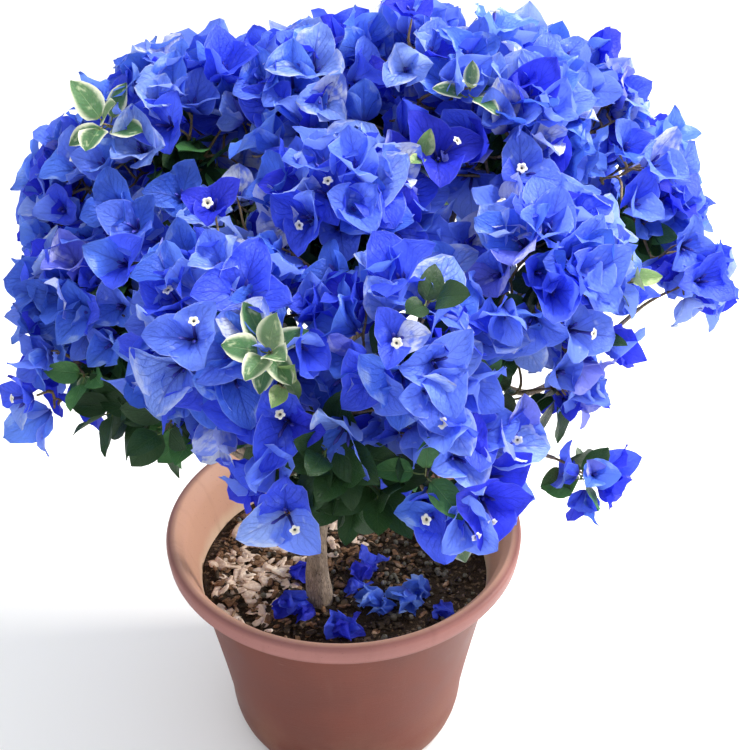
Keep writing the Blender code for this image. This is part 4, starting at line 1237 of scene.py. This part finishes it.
def pot_material():
    """Terracotta-coloured plastic: clouded tone, a lip painted lighter than the body (partly a
    sun-faded look, partly painted light), an inside painted much lighter as painted sunlight on
    the inner wall, a pale tide line over the soil, fine scratches round the pot, dark streaks
    down it, and soil dust."""
    material, tree, shader, _ = new_material("terracotta_plastic")
    look = {part: solid(colour) for part, colour in POT_COLOURS.items()}
    place = object_place(tree)
    split = split_vector(tree, place)
    high = split[2]
    within = add_node(tree, "ShaderNodeAttribute", attribute_name="within").outputs["Fac"]
    cloud = noise(tree, place, 9.0, 4.0, 0.55)
    clouded = step_between(tree, cloud, 0.32, 0.70)
    colour = blend_colours(tree, clouded, look["body"], look["lighter"])
    under = POT_HEIGHT - LIP_HEIGHT
    # the lip's lighter colour: partly a sun-faded look, partly painted light where the lip catches
    # more light than the shaded body
    fade = step_between(tree, high, under - 0.0015, under + 0.004)
    lip_fade_and_light_mask = maths(tree, "MULTIPLY", fade, step_between(tree, cloud, 0.2, 0.8, 0.55, 0.95))
    colour = blend_colours(tree, lip_fade_and_light_mask, colour, look["lip"])
    # the inside above the soil: painted light, a much lighter copy of the pot's colour standing in
    # for sun on the inner wall
    bare = step_between(tree, high, SOIL_LEVEL - 0.02, SOIL_LEVEL)
    inside = maths(tree, "MULTIPLY", within, bare)
    colour = blend_colours(tree, maths(tree, "MULTIPLY", inside, 0.85), colour, look["inside"])
    ragged = maths(tree, "MULTIPLY_ADD", noise(tree, stretched(tree, place, (1, 1, 0.2)), 60.0),
                   0.010, high)
    damp = step_between(tree, ragged, SOIL_LEVEL + 0.020, SOIL_LEVEL + 0.004)
    tide = maths(tree, "MULTIPLY", damp, maths(tree, "MULTIPLY", inside, 0.75))
    colour = blend_colours(tree, tide, colour, look["tide"])
    turn = maths(tree, "ARCTAN2", split[1], split[0])
    around = join_vector(tree, maths(tree, "MULTIPLY", turn, 0.13), high, 0.0)
    marks = noise(tree, stretched(tree, around, (1, 14, 1)), 42.0, 6.0, 0.7)
    scratch = maths(tree, "MULTIPLY", step_between(tree, marks, 0.66, 0.74), 0.30)
    colour = blend_colours(tree, scratch, colour, look["scratch"])
    runs = noise(tree, stretched(tree, around, (9, 1, 1)), 11.0, 4.0, 0.6)
    streak = maths(tree, "MULTIPLY", step_between(tree, runs, 0.52, 0.80), 0.20)
    colour = blend_colours(tree, streak, colour, look["streak"])
    dusty = place_group(tree, DUST, Place=place, Under=colour, Dust=look["dust"], Cover=0.30,
                        Speck=look["speck"], Specks=0.22, Low=0.10, High=0.01)
    rough = maths(tree, "MULTIPLY_ADD", dusty["Mask"], 0.35,
                  step_between(tree, cloud, 0.3, 0.7, 0.42, 0.54))
    dress(tree, shader, dusty["Colour"], rough, 0.18)
    grain = maths(tree, "MULTIPLY", noise(tree, place, 900.0, 2.0), 0.25)
    bump(tree, shader, maths(tree, "MULTIPLY_ADD", marks, 0.8, grain), 0.00025)
    return material


def ground_material(name):
    """Potting mix, chips and stones: cell tone under cloud tone, with dust and specks."""
    *colours, scale, dust, relief = GROUNDS[name]
    dark, light, pale = map(solid, colours)
    material, tree, shader, _ = new_material(name)
    place = object_place(tree)
    cells = add_node(tree, "ShaderNodeTexVoronoi", {"Vector": place, "Scale": scale},
                     feature="F1")
    tone = split_vector(tree, cells.outputs["Color"])[0]
    fine = noise(tree, place, scale * 2.3, 5.0, 0.65)
    colour = blend_colours(tree, step_between(tree, fine, 0.30, 0.70), dark, light)
    lone = maths(tree, "MULTIPLY", step_between(tree, tone, 0.80, 0.92), 0.75)
    colour = blend_colours(tree, lone, colour, pale)
    dusty = place_group(tree, DUST, Place=place, Under=colour, Dust=light, Cover=dust,
                        Speck=pale, Specks=dust, Low=-0.2, High=-0.1)
    dress(tree, shader, dusty["Colour"], step_between(tree, fine, 0.2, 0.8, 0.98, 0.82), 0.2)
    edge = step_between(tree, cells.outputs["Distance"], 0.0, 0.7, 1.0, 0.0)
    bump(tree, shader, maths(tree, "MULTIPLY_ADD", edge, 0.7, fine), relief)
    return material


# ---------- growing the crown ----------

# Shares of the colours, in their order above, among bracts that differ from their triad.
STRAY_SHARES = (0.24, 0.22, 0.14, 0.08, 0.16, 0.09, 0.05, 0.02)

# How much each colour is dealt: everywhere, and then what is added to the light, on the shady
# left, low down, and where the flower faces down. The last four columns paint light and shade
# into the bracts' colour: pale colours to the light as painted light, teal and azure on the
# left and deep low down and facing down as painted shade.
COLOUR_SHARES = {
    "periwinkle": (0.38, 0.15, -0.15, 0.00, 0.00),
    "royal": (0.32, -0.08, 0.00, 0.20, 0.00),
    "deep": (0.10, 0.00, 0.06, 0.22, 0.30),
    "teal": (0.02, 0.00, 0.50, 0.00, 0.00),
    "azure": (0.26, 0.00, 0.35, -0.12, 0.00),
    "sky": (0.12, 0.18, 0.00, -0.08, 0.00),
    # the near-white colour is painted glare, dealt a little more to the light
    "painted_glare": (0.06, 0.03, 0.00, 0.00, 0.00),
    "faded": (0.03, 0.00, 0.00, 0.04, 0.00),
}


def deal_colours(hubs, axes, rng):
    """Each triad's bract colour, as a number in the list of colours: a random pick among the
    colours' shares. Light and shade are painted in by colour: the shady left turns teal and
    azure as painted shade, what hangs low or faces down turns deep as painted shade, and what
    faces up and to the light turns pale as painted light."""
    # masks for painted shade (left side, low down, facing down) and painted light (lit)
    left = smooth_step(-hubs[:, 0], 0.02, 0.20) * smooth_step(-axes[:, 0], -0.45, 0.6)
    low = smooth_step(0.47 - hubs[:, 2], 0.0, 0.11)
    under = smooth_step(-axes[:, 2], -0.15, 0.45)
    lit = smooth_step(axes[:, 2] + 0.6 * axes[:, 0], 0.2, 1.1) * (1 - left)
    cases = np.stack([np.ones(len(hubs)), lit, left, low, under], axis=1)
    shares = cases @ np.array([COLOUR_SHARES[name] for name in BRACT_COLOURS]).T
    limits = np.cumsum(np.clip(shares, 0, None), axis=1)
    pick = rng.uniform(0, limits[:, -1])
    return (pick[:, None] > limits).sum(axis=1)


# Colours of the flowers that stand out, in turn.
FACE_COLOURS = ("periwinkle", "royal", "deep", "periwinkle")

# Flowers that stand out of the blossom, each with its place and the way it faces.
FACES = [
    ((-0.031, -0.190, 0.388), (-0.05, -0.80, 0.45)), ((0.072, -0.190, 0.389), (-0.20, -0.85, 0.25)),
    ((0.095, -0.186, 0.402), (0.35, -0.85, 0.20)), ((0.084, -0.196, 0.393), (0.10, -0.90, 0.15)),
    ((-0.086, -0.162, 0.505), (-0.15, -0.70, 0.65)), ((0.039, -0.177, 0.515), (0.10, -0.75, 0.60)),
    ((-0.080, -0.080, 0.555), (-0.10, -0.55, 0.80)), ((-0.187, 0.030, 0.534), (-0.40, -0.50, 0.70)),
    ((0.128, -0.028, 0.557), (0.10, -0.60, 0.75)), ((-0.030, -0.167, 0.447), (-0.05, -0.85, 0.40)),
    ((0.071, -0.018, 0.564), (0.05, -0.60, 0.80)), ((0.119, -0.142, 0.427), (0.30, -0.80, 0.30)),
    ((0.154, -0.121, 0.489), (0.50, -0.70, 0.35)), ((-0.217, -0.094, 0.417), (-0.60, -0.55, 0.20)),
    ((0.053, 0.044, 0.647), (0.05, -0.50, 0.85)),
]

# Leafy sprigs that stand out of the blossom: place, way, leaf colour, leaf count, leaf length.
SPRIGS = [
    ((-0.168, 0.004, 0.585), (-0.10, -0.85, 0.50), "variegated", 6, 0.033),
    ((-0.039, -0.178, 0.506), (0.05, -0.85, 0.45), "variegated", 8, 0.030),
    ((-0.030, -0.181, 0.486), (0.10, -0.90, 0.00), "young", 4, 0.022),
    ((0.060, -0.207, 0.431), (0.05, -0.85, 0.50), "mid", 5, 0.031),
    ((0.093, -0.014, 0.618), (0.10, -0.65, 0.75), "variegated", 5, 0.022),
    ((0.060, -0.034, 0.574), (0.15, -0.70, 0.70), "young", 5, 0.022),
    ((0.200, -0.100, 0.513), (0.55, -0.60, 0.20), "young", 5, 0.024),
    # the dark sprigs carry the shaded green: painted shade
    ((0.061, -0.163, 0.535), (0.20, -0.60, 0.60), "dark", 4, 0.026),
    ((-0.117, -0.146, 0.423), (-0.20, -0.70, -0.10), "dark", 6, 0.030),
    ((-0.165, -0.100, 0.406), (-0.50, -0.60, -0.20), "dark", 6, 0.030),
    ((-0.100, -0.131, 0.409), (0.00, -0.80, -0.20), "mid", 5, 0.030),
    ((-0.183, -0.087, 0.428), (-0.30, -0.70, 0.00), "mid", 5, 0.026),
    ((0.007, -0.186, 0.424), (0.00, -0.90, 0.00), "dark", 7, 0.036),
    ((0.029, -0.181, 0.399), (0.30, -0.90, 0.00), "dark", 7, 0.038),
    ((-0.006, -0.189, 0.438), (-0.30, -0.80, 0.10), "dark", 6, 0.034),
    ((0.013, -0.172, 0.379), (-0.20, -0.80, -0.20), "dark", 6, 0.036),
]

# Flowers that close the seams between masses: place and the way each faces.
FILLERS = [
    ((-0.150, -0.022, 0.526), (-0.30, -0.65, 0.55)), ((-0.128, -0.020, 0.502), (-0.15, -0.75, 0.50)),
    ((-0.112, -0.010, 0.530), (-0.10, -0.60, 0.70)), ((-0.166, 0.006, 0.548), (-0.35, -0.55, 0.60)),
    ((-0.140, 0.012, 0.556), (-0.20, -0.60, 0.70)), ((0.225, 0.014, 0.545), (0.40, -0.55, 0.55)),
    ((0.243, 0.018, 0.536), (0.55, -0.45, 0.55)), ((0.208, 0.020, 0.556), (0.25, -0.60, 0.65)),
    ((0.060, -0.186, 0.398), (0.00, -0.85, 0.20)), ((0.098, -0.170, 0.404), (0.30, -0.85, 0.25)),
    ((-0.207, -0.067, 0.436), (-0.50, -0.60, 0.30)), ((0.072, -0.012, 0.500), (0.00, -0.75, 0.55)),
    ((0.092, -0.036, 0.506), (0.05, -0.70, 0.60)), ((0.108, -0.026, 0.492), (0.20, -0.70, 0.55)),
    ((0.080, -0.040, 0.490), (-0.10, -0.80, 0.45)), ((0.140, -0.030, 0.474), (0.20, -0.75, 0.45)),
    ((0.152, -0.022, 0.458), (0.30, -0.75, 0.30)), ((0.033, -0.108, 0.462), (0.00, -0.75, 0.55)),
    ((-0.090, -0.032, 0.520), (-0.10, -0.45, 0.85)), ((-0.072, -0.018, 0.532), (0.05, -0.30, 0.95)),
    ((-0.104, -0.046, 0.500), (-0.20, -0.55, 0.70)), ((0.074, -0.078, 0.500), (0.05, -0.45, 0.85)),
    ((0.058, -0.090, 0.488), (-0.05, -0.55, 0.75)), ((-0.138, -0.004, 0.510), (-0.20, -0.75, 0.50)),
    ((-0.150, -0.068, 0.476), (-0.30, -0.80, 0.40)), ((-0.146, -0.056, 0.502), (-0.25, -0.75, 0.55)),
    ((-0.158, -0.074, 0.450), (-0.35, -0.80, 0.25)), ((-0.140, -0.042, 0.522), (-0.20, -0.65, 0.70)),
    ((0.211, -0.006, 0.524), (0.35, -0.65, 0.50)),
]

# Spots in the crown, each a middle and a radius in metres: where leaves show in place of
# blossom, where it stays open to the light behind it, and what the flowers and the lighter
# sprigs that stand out need for themselves.
GREEN_SPOTS = [((0.012, -0.172, 0.400), 0.046), ((-0.130, -0.125, 0.408), 0.034)]
OPENINGS = [((0.124, -0.050, 0.399), 0.022), ((0.226, 0.000, 0.445), 0.018)]
FACE_ROOM = [(spot, 0.024) for spot, _ in FACES]
SPRIG_ROOM = [(spot, 0.015) for spot, _, look, *_ in SPRIGS if look != "dark"]


def near_any(point, spots):
    """Whether a point lies within any of the spots."""
    return any(np.linalg.norm(point - middle) < radius for middle, radius in spots)


def grow_crown(spaces, limbs, lines):
    """Every mass's twigs, its flowering tips and its leafy tips. A spray is its hub, its axis
    and its bracts' size."""
    paths, blooming, leafy = [], [], []
    for number, (name, kind, *_) in enumerate(MASSES):
        rng = random_for(100, number)
        carrier = limbs.get(name, limbs["trunk"])
        drawn, size = TRIM.get(name, (1.0, 1.0))
        grown, sprays = grow_mass(spaces[name], carrier, lines, rng, drawn)
        paths += grown
        for hub, axis, facing in sprays:
            if (near_any(hub, OPENINGS) or near_any(hub + axis * 0.012, FACE_ROOM)
                    or near_any(hub + axis * 0.016, SPRIG_ROOM)):
                continue
            flowers = (kind == "bract" and not near_any(hub, GREEN_SPOTS)
                       and (facing > -0.15 or rng.random() < 0.25))
            (blooming if flowers else leafy).append((hub, axis, size))
    return paths, blooming, leafy


def core_sprays(spaces, rng):
    """Leafy tips on four shells about the crown's heart, wherever a mass has room for them."""
    ways = golden_directions(CORE_COUNT, 0.7)
    reach = np.resize(CORE_REACH, CORE_COUNT) * rng.uniform(0.9, 1.1, CORE_COUNT)
    spots = HEART + ways * reach[:, None] * CORE_SHAPE + UP * 0.015
    room = np.max([depth_inside(space, spots) for space in spaces.values()], axis=0) > 0.003
    lean = unit(ways + 0.4 * rng.normal(size=ways.shape))
    return spots[room], lean[room]


def reach_out(spots, ways, paths):
    """A twig to each spot from the nearest wood, at the same cost as a mass's own twigs."""
    paths = np.array(paths)
    nodes = paths[:, 3:].reshape(-1, 3)
    runs = unit(np.gradient(paths, axis=1))[:, 3:].reshape(-1, 3)
    grown = []
    for spot, way in zip(spots, ways):
        away = spot - nodes
        too_near = np.linalg.norm(away, axis=1) < 0.012
        start = int(np.argmin(wood_cost(away, runs) + too_near))
        ahead = unit(away[start])
        grown.append(bend(nodes[start], runs[start] + ahead, spot, way + ahead, paths.shape[1]))
    return grown


def clear_of_wood(surfaces, lines):
    """Whether a blade keeps off the limbs at its corners, edges and middle."""
    picks = surfaces[:, ::3, ::2].reshape(len(surfaces), -1, 3)
    return np.array([limb_distance(points, lines).min() > BLADE_CLEAR for points in picks])


def within_reach(surfaces, proud=0.005):
    """Whether a blade stays in the plant's own box, but for the little it may stand proud."""
    low, high = np.array(cad_box[0]) - proud, np.array(cad_box[1]) + proud
    points = surfaces.reshape(len(surfaces), -1, 3)
    return ((points > low) & (points < high)).all(axis=(1, 2))


def out_of_cups(surfaces, hubs, axes):
    """Whether a leaf keeps out of the open space in front of every flower's hub: a cone from
    2 to 45 mm along its axis, with a radius of 4 mm + 0.55 of the way along."""
    points = surfaces[:, 1::3, ::3].reshape(len(surfaces), -1, 3)
    kept = np.ones(len(surfaces), bool)
    for hub, axis in zip(hubs, axes):
        away = points - hub
        rise = away @ axis
        apart = np.linalg.norm(away - rise[..., None] * axis, axis=-1)
        kept &= ~((rise > 0.002) & (rise < 0.045) & (apart < 0.004 + 0.55 * rise)).any(axis=1)
    return kept


def build_blossom(blooming, lines):
    """Bracts in threes on every flowering tip, dealt out by colour, then tubes and stars. The
    flowers that stand out come first and are wide open, and those that close seams come last."""
    hubs, axes, sizes = (np.array([spray[k] for spray in blooming]) for k in (0, 1, 2))
    count, first, last = len(hubs), len(FACES), len(hubs) - len(FILLERS)
    parts = [triads(hubs[rows], axes[rows], random_for(seed), sizes[rows], opened)
             for seed, rows, opened in ((200, slice(0, first), (0.66, 0.90)),
                                        (201, slice(first, last), (0.15, 1.0)),
                                        (202, slice(last, None), (0.40, 0.90)))]
    surfaces, midribs, inner = (np.concatenate(part) for part in zip(*parts))
    colours = deal_colours(hubs, axes, random_for(203))
    names = list(BRACT_COLOURS)
    colours[:first] = np.resize([names.index(look) for look in FACE_COLOURS], first)
    colours = np.repeat(colours, 3)
    loose = random_for(204).random(len(colours)) < LOOSE_SHARE
    stray = random_for(205).choice(len(BRACT_COLOURS), len(colours), p=STRAY_SHARES)
    colours = np.where(loose, stray, colours)
    kept = clear_of_wood(surfaces, lines) & within_reach(surfaces)
    for number, name in enumerate(names):
        chosen = kept & (colours == number)
        build_bracts(f"bracts_{name}", surfaces[chosen], bract_material(name))
    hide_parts(*[f"foliage_{row[0]}" for row in MASSES])

    rng = random_for(206)
    starred = (rng.random(count) < STAR_SHARE) | (np.arange(count) < first)
    opened = (np.tile([True, False, False], count) & np.repeat(starred, 3))[kept]
    paths, radii = flower_tubes(midribs[kept], inner[kept], opened, rng)
    sides = 5
    verts, faces = tubes(paths, radii, sides)
    add_piece("flower_tubes", verts, faces, tube_material(),
              grid_uv(len(paths), paths.shape[1], sides))
    mouths, ways = paths[opened, -1], unit(paths[opened, -1] - paths[opened, -3])
    verts, faces, uv = flower_star(mouths + ways * 0.0012, ways, rng)
    add_piece("flower_stars", verts, faces, star_material(), uv)


def leafy_tips(leafy, rng):
    """Leaves in a spiral at every leafy tip and sprig, wide open at the shoot's foot and closed
    towards its tip. Each group holds its leaves' spots, ways, top sides, lengths and colour
    numbers, and whether they may stand in front of flowers."""
    names = list(LEAF_COLOURS)
    # leafy tips inside the crown: mostly the dark green, as painted shade
    ends = [(hub, axis, rng.choice([SHADED_GREEN, SHADED_GREEN, SHADED_GREEN, SHADED_GREEN, LIT_GREEN, LIT_GREEN]), 6, 0.034, False)
            for hub, axis, _ in leafy]
    ends += [(np.array(spot), unit(way), names.index(look), count, long, True)
             for spot, way, look, count, long in SPRIGS]
    groups = []
    for hub, axis, look, count, long, firm in ends:
        guide = unit(np.cross(axis, (0.3, 0.8, 0.5)))
        other = np.cross(axis, guide)
        turn = np.arange(count) * 2.4 + rng.uniform(0, 6.28)
        opening = np.linspace(0.9, 0.35, count) + rng.normal(0, 0.08, count)
        rays = guide * np.cos(turn)[:, None] + other * np.sin(turn)[:, None]
        ways = unit(rays * opening[:, None] + axis * (1.05 - opening)[:, None])
        spots = hub - axis * np.linspace(0.018, 0.001, count)[:, None]
        tops = unit(axis + 0.6 * UP + 0.15 * rng.normal(size=(count, 3)))
        groups.append((spots, ways, tops, long * rng.uniform(0.72, 1.08, count),
                       np.full(count, look), np.full(count, firm)))
    return groups


def build_petioles(spots, feet):
    """A thin stalk from each leaf's spot on its twig to its blade's foot, which sags between
    them by the sag x sin(pi share)."""
    share = np.linspace(0, 1, 4)[:, None]
    stalks = spots[:, None] + (feet - spots)[:, None] * share
    stalks = stalks - UP * STALK_SAG * np.sin(math.pi * share)
    verts, faces = tubes(stalks, np.full(stalks.shape[:2], STALK_RADIUS), 5)
    add_piece("petioles", verts, faces, wood_material("green_stalk"))


def build_leaves(paths, leafy, blooming, lines):
    """Leaves on petioles: one or two along each twig, more at the leafy tips, and the sprigs
    that stand out. Along the twigs they are dark or mid green, mid more often further out, as
    painted shade within the crown and painted light towards its outside, and a few of the
    outer ones are variegated or young."""
    rng = random_for(300)
    shares = [rng.uniform(0.25, 0.80, rng.integers(1, 3)) for _ in paths]
    spots, ways, tops = leaf_places(paths, shares, rng)
    sizes = rng.uniform(*LEAF_LENGTH, len(spots))
    out = np.linalg.norm(spots - HEART, axis=1)
    # share of the mid green: painted light that grows towards the crown's outside, painted shade
    # within
    lighter = 0.20 + smooth_step(out, 0.12, 0.26) * 0.40
    tint = np.where(rng.random(len(spots)) < lighter, LIT_GREEN, SHADED_GREEN)
    for share, look in ((0.05, VARIEGATED), (0.03, YOUNG)):
        tint = np.where(rng.random(len(spots)) < share * (out > 0.15), look, tint)
    along_twigs = (spots, ways, tops, sizes, tint, np.zeros(len(spots), bool))
    rng = random_for(301)
    groups = [along_twigs, *leafy_tips(leafy, rng)]
    spots, ways, tops, sizes, tint, firm = (np.concatenate(part) for part in zip(*groups))
    petiole = (0.20 * sizes * rng.uniform(0.7, 1.4, len(sizes)))[:, None]
    starts = spots + ways * petiole
    surfaces = leaf_surfaces(starts, unit(ways + 0.12 * tops), tops, sizes, rng)
    hubs, axes = (np.array([spray[k] for spray in blooming]) for k in (0, 1))
    kept = clear_of_wood(surfaces, lines) & within_reach(surfaces)
    kept &= firm | out_of_cups(surfaces, hubs, axes)
    for number, name in enumerate(LEAF_COLOURS):
        chosen = surfaces[kept & (tint == number)]
        add_piece(f"leaves_{name}", chosen, grid_quads(len(chosen), *LEAF_SHAPE),
                  leaf_material(name), grid_uv(len(chosen), *LEAF_SHAPE))
    build_petioles(spots[kept], surfaces[kept][:, 0].mean(axis=1))


def build_twigs(paths):
    """Every twig as a tube that thins from its start to its tip."""
    paths = np.array(paths)
    radii = np.linspace(TWIG_RADIUS, TWIG_TIP_RADIUS, paths.shape[1])
    rng = random_for(400)
    radii = radii * rng.uniform(0.85, 1.15, (len(paths), 1))
    verts, faces = tubes(paths, radii, 7)
    add_piece("twigs", verts, faces, wood_material("young_wood"))


# What lies on the soil, in heaps, each with its middle, its spread and its number.
LITTER = {
    "chips_pale": [((-0.080, -0.010), (0.020, 0.032), 110), ((-0.055, -0.035), (0.03, 0.03), 26),
                   ((-0.030, 0.030), (0.035, 0.025), 30)],
    "chips_brown": [((-0.070, 0.010), (0.045, 0.060), 420), ((0.040, 0.030), (0.05, 0.05), 110)],
    "chips_dark": [((0.045, 0.000), (0.06, 0.07), 300), ((-0.030, -0.060), (0.06, 0.04), 150)],
    "pebbles": [((0.065, -0.005), (0.045, 0.06), 130), ((-0.020, 0.010), (0.06, 0.06), 30)],
}

# Fallen flowers on the soil, by colour.
FALLEN = {
    "deep": [(-0.052, -0.060), (-0.034, -0.066), (0.016, -0.020), (-0.038, -0.018),
             (0.004, -0.088)],
    "royal": [(-0.043, -0.056), (0.010, -0.036), (0.022, -0.008), (0.086, -0.066),
              (-0.004, -0.082)],
    "azure": [(0.050, -0.052), (0.034, -0.062), (0.064, -0.042), (0.022, -0.050),
              (0.056, -0.064)],
}


def build_litter():
    """Bark chips, pebbles and fallen bracts on the soil."""
    rng = random_for(500)
    for order, (name, heaps) in enumerate(LITTER.items()):
        spots = np.vstack([scattered(count, spread, centre, rng)
                           for centre, spread, count in heaps])
        count = len(spots)
        if name == "pebbles":
            sizes = rng.uniform(0.0010, 0.0030, (count, 1)) * rng.uniform(0.7, 1.15, (count, 3))
            square, rough, tilt = 0.9, 0.14, 0.3
        else:
            big = 1.30 if name == "chips_pale" else 0.68
            length = rng.uniform(0.0022, 0.0078, count) * big
            sizes = np.stack([length, length * rng.uniform(0.28, 0.66, count),
                              rng.uniform(0.0005, 0.0013, count)], axis=1)
            square, rough, tilt = 0.65, 0.32, 0.24
        spots[:, 2] += sizes[:, 2] * 0.8 + rng.uniform(0.0, 0.0026, count)
        verts, faces = lumps(spots, lying_turns(count, tilt, rng), sizes, square, rough, 70 + order)
        add_piece(name, verts, faces, ground_material(name))
    for name, spots in FALLEN.items():
        build_fallen(name, np.array(spots), rng)


def build_fallen(name, spots, rng):
    """Small crumpled triads turned any way up and pressed down on to the soil."""
    count = len(spots)
    hubs = np.column_stack([spots, np.full(count, SOIL_LEVEL + 0.010)])
    axes = unit(np.column_stack([rng.normal(0, 1.0, (count, 2)), rng.normal(0.1, 0.6, count)]))
    surfaces, _, _ = triads(hubs, axes, rng, 0.70, (0.2, 0.8), crumple=0.0040)
    heaps = surfaces.reshape(count, -1, 3)
    heaps = heaps - (heaps.mean(axis=1) - hubs)[:, None] * (1, 1, 0)
    rise = heaps[..., 2] - heaps[..., 2].min(axis=1, keepdims=True)
    heaps[..., 2] = soil_height(heaps[..., 0], heaps[..., 1]) + 0.0012 + rise * 0.72
    build_bracts(f"fallen_bracts_{name}", heaps.reshape(surfaces.shape),
                 bpy.data.materials[f"bract_{name}"])


# ---------- the studio ----------

STAGE_REACH, STAGE_TONE, STAGE_ROUGHNESS = 6, 0.94, 0.9
SKY_COLOUR, SKY_STRENGTH = (0.96, 0.98, 1.0, 1), 1.06

# Each lamp: name, place, width in metres, power in watts and colour.
LAMPS = [("key", (0.85, 0.20, 1.95), 0.55, 52, (1.0, 0.98, 0.95)),
         ("low_sun", (2.30, 0.30, 1.20), 0.45, 60, (1.0, 0.95, 0.88))]
LAMP_AIM = np.array([0.0, 0.0, 0.30])

CAMERA_PLACE = (0.027, -0.809, 0.906)
CAMERA_DIP = 33.4                       # degrees that it looks down
LENS, SENSOR_WIDTH = 57.6, 36.0         # millimetres


def build_stage():
    """A pale floor, soft light from the upper right with a wide fill, and the camera."""
    mesh = bpy.data.meshes.new("floor")
    half = STAGE_REACH
    mesh.from_pydata([(-half, -half, 0), (half, -half, 0), (half, half, 0), (-half, half, 0)],
                     [], [(0, 1, 2, 3)])
    material, _, shader, _ = new_material("pale_floor")
    shader.inputs["Base Color"].default_value = solid((STAGE_TONE,) * 3)
    shader.inputs["Roughness"].default_value = STAGE_ROUGHNESS
    mesh.materials.append(material)
    floor = bpy.data.objects.new("floor", mesh)
    bpy.context.scene.collection.objects.link(floor)

    world = bpy.data.worlds.new("studio")
    bpy.context.scene.world = world
    world.use_nodes = True
    sky = world.node_tree.nodes["Background"]
    sky.inputs["Color"].default_value = SKY_COLOUR
    sky.inputs["Strength"].default_value = SKY_STRENGTH
    for name, spot, size, power, colour in LAMPS:
        lamp = bpy.data.lights.new(name, "AREA")
        lamp.size, lamp.energy, lamp.color = size, power, colour
        item = bpy.data.objects.new(name, lamp)
        item.location = spot
        aim = LAMP_AIM - np.array(spot)
        bearing = math.atan2(aim[1], aim[0]) - math.pi / 2
        climb = math.atan2(aim[2], math.hypot(aim[0], aim[1])) + math.pi / 2
        item.rotation_euler = (climb, 0, bearing)
        bpy.context.scene.collection.objects.link(item)

    view = bpy.data.cameras.new("view")
    view.lens, view.sensor_width = LENS, SENSOR_WIDTH
    camera = bpy.data.objects.new("view", view)
    camera.location = CAMERA_PLACE
    camera.rotation_euler = (math.radians(90 - CAMERA_DIP), 0, 0)
    bpy.context.scene.collection.objects.link(camera)
    bpy.context.scene.camera = camera
    bpy.context.scene.view_settings.view_transform = "Standard"


def build_plant():
    """Pot, soil and wood, then the crown that grows on the wood: the masses' own twigs, twigs
    to the flowers and sprigs placed one by one, and leafy twigs about the heart."""
    spaces = mass_spaces()
    limbs = plan_limbs(spaces)
    lines = limb_lines(limbs)
    build_pot(pot_material())
    build_soil(ground_material("potting_mix"))
    build_wood(limbs, wood_material("bark"))
    paths, blooming, leafy = grow_crown(spaces, limbs, lines)
    placed = [(np.array(spot), unit(way)) for spot, way, *_ in FACES + FILLERS + SPRIGS]
    reached = reach_out(*zip(*placed), paths)
    faces, fillers = len(FACES), len(FILLERS)
    flowers = [(*spray, PLACED_SIZE) for spray in placed[:faces + fillers]]
    blooming = flowers[:faces] + blooming + flowers[faces:]
    spots, ways = core_sprays(spaces, random_for(600))
    core = reach_out(spots, ways, paths)
    leafy += [(spot, way, 1.0) for spot, way in zip(spots, ways)]
    paths += reached + core
    build_twigs(paths)
    build_blossom(blooming, lines)
    build_leaves(paths, leafy, blooming, lines)
    build_litter()


build_plant()
build_stage()
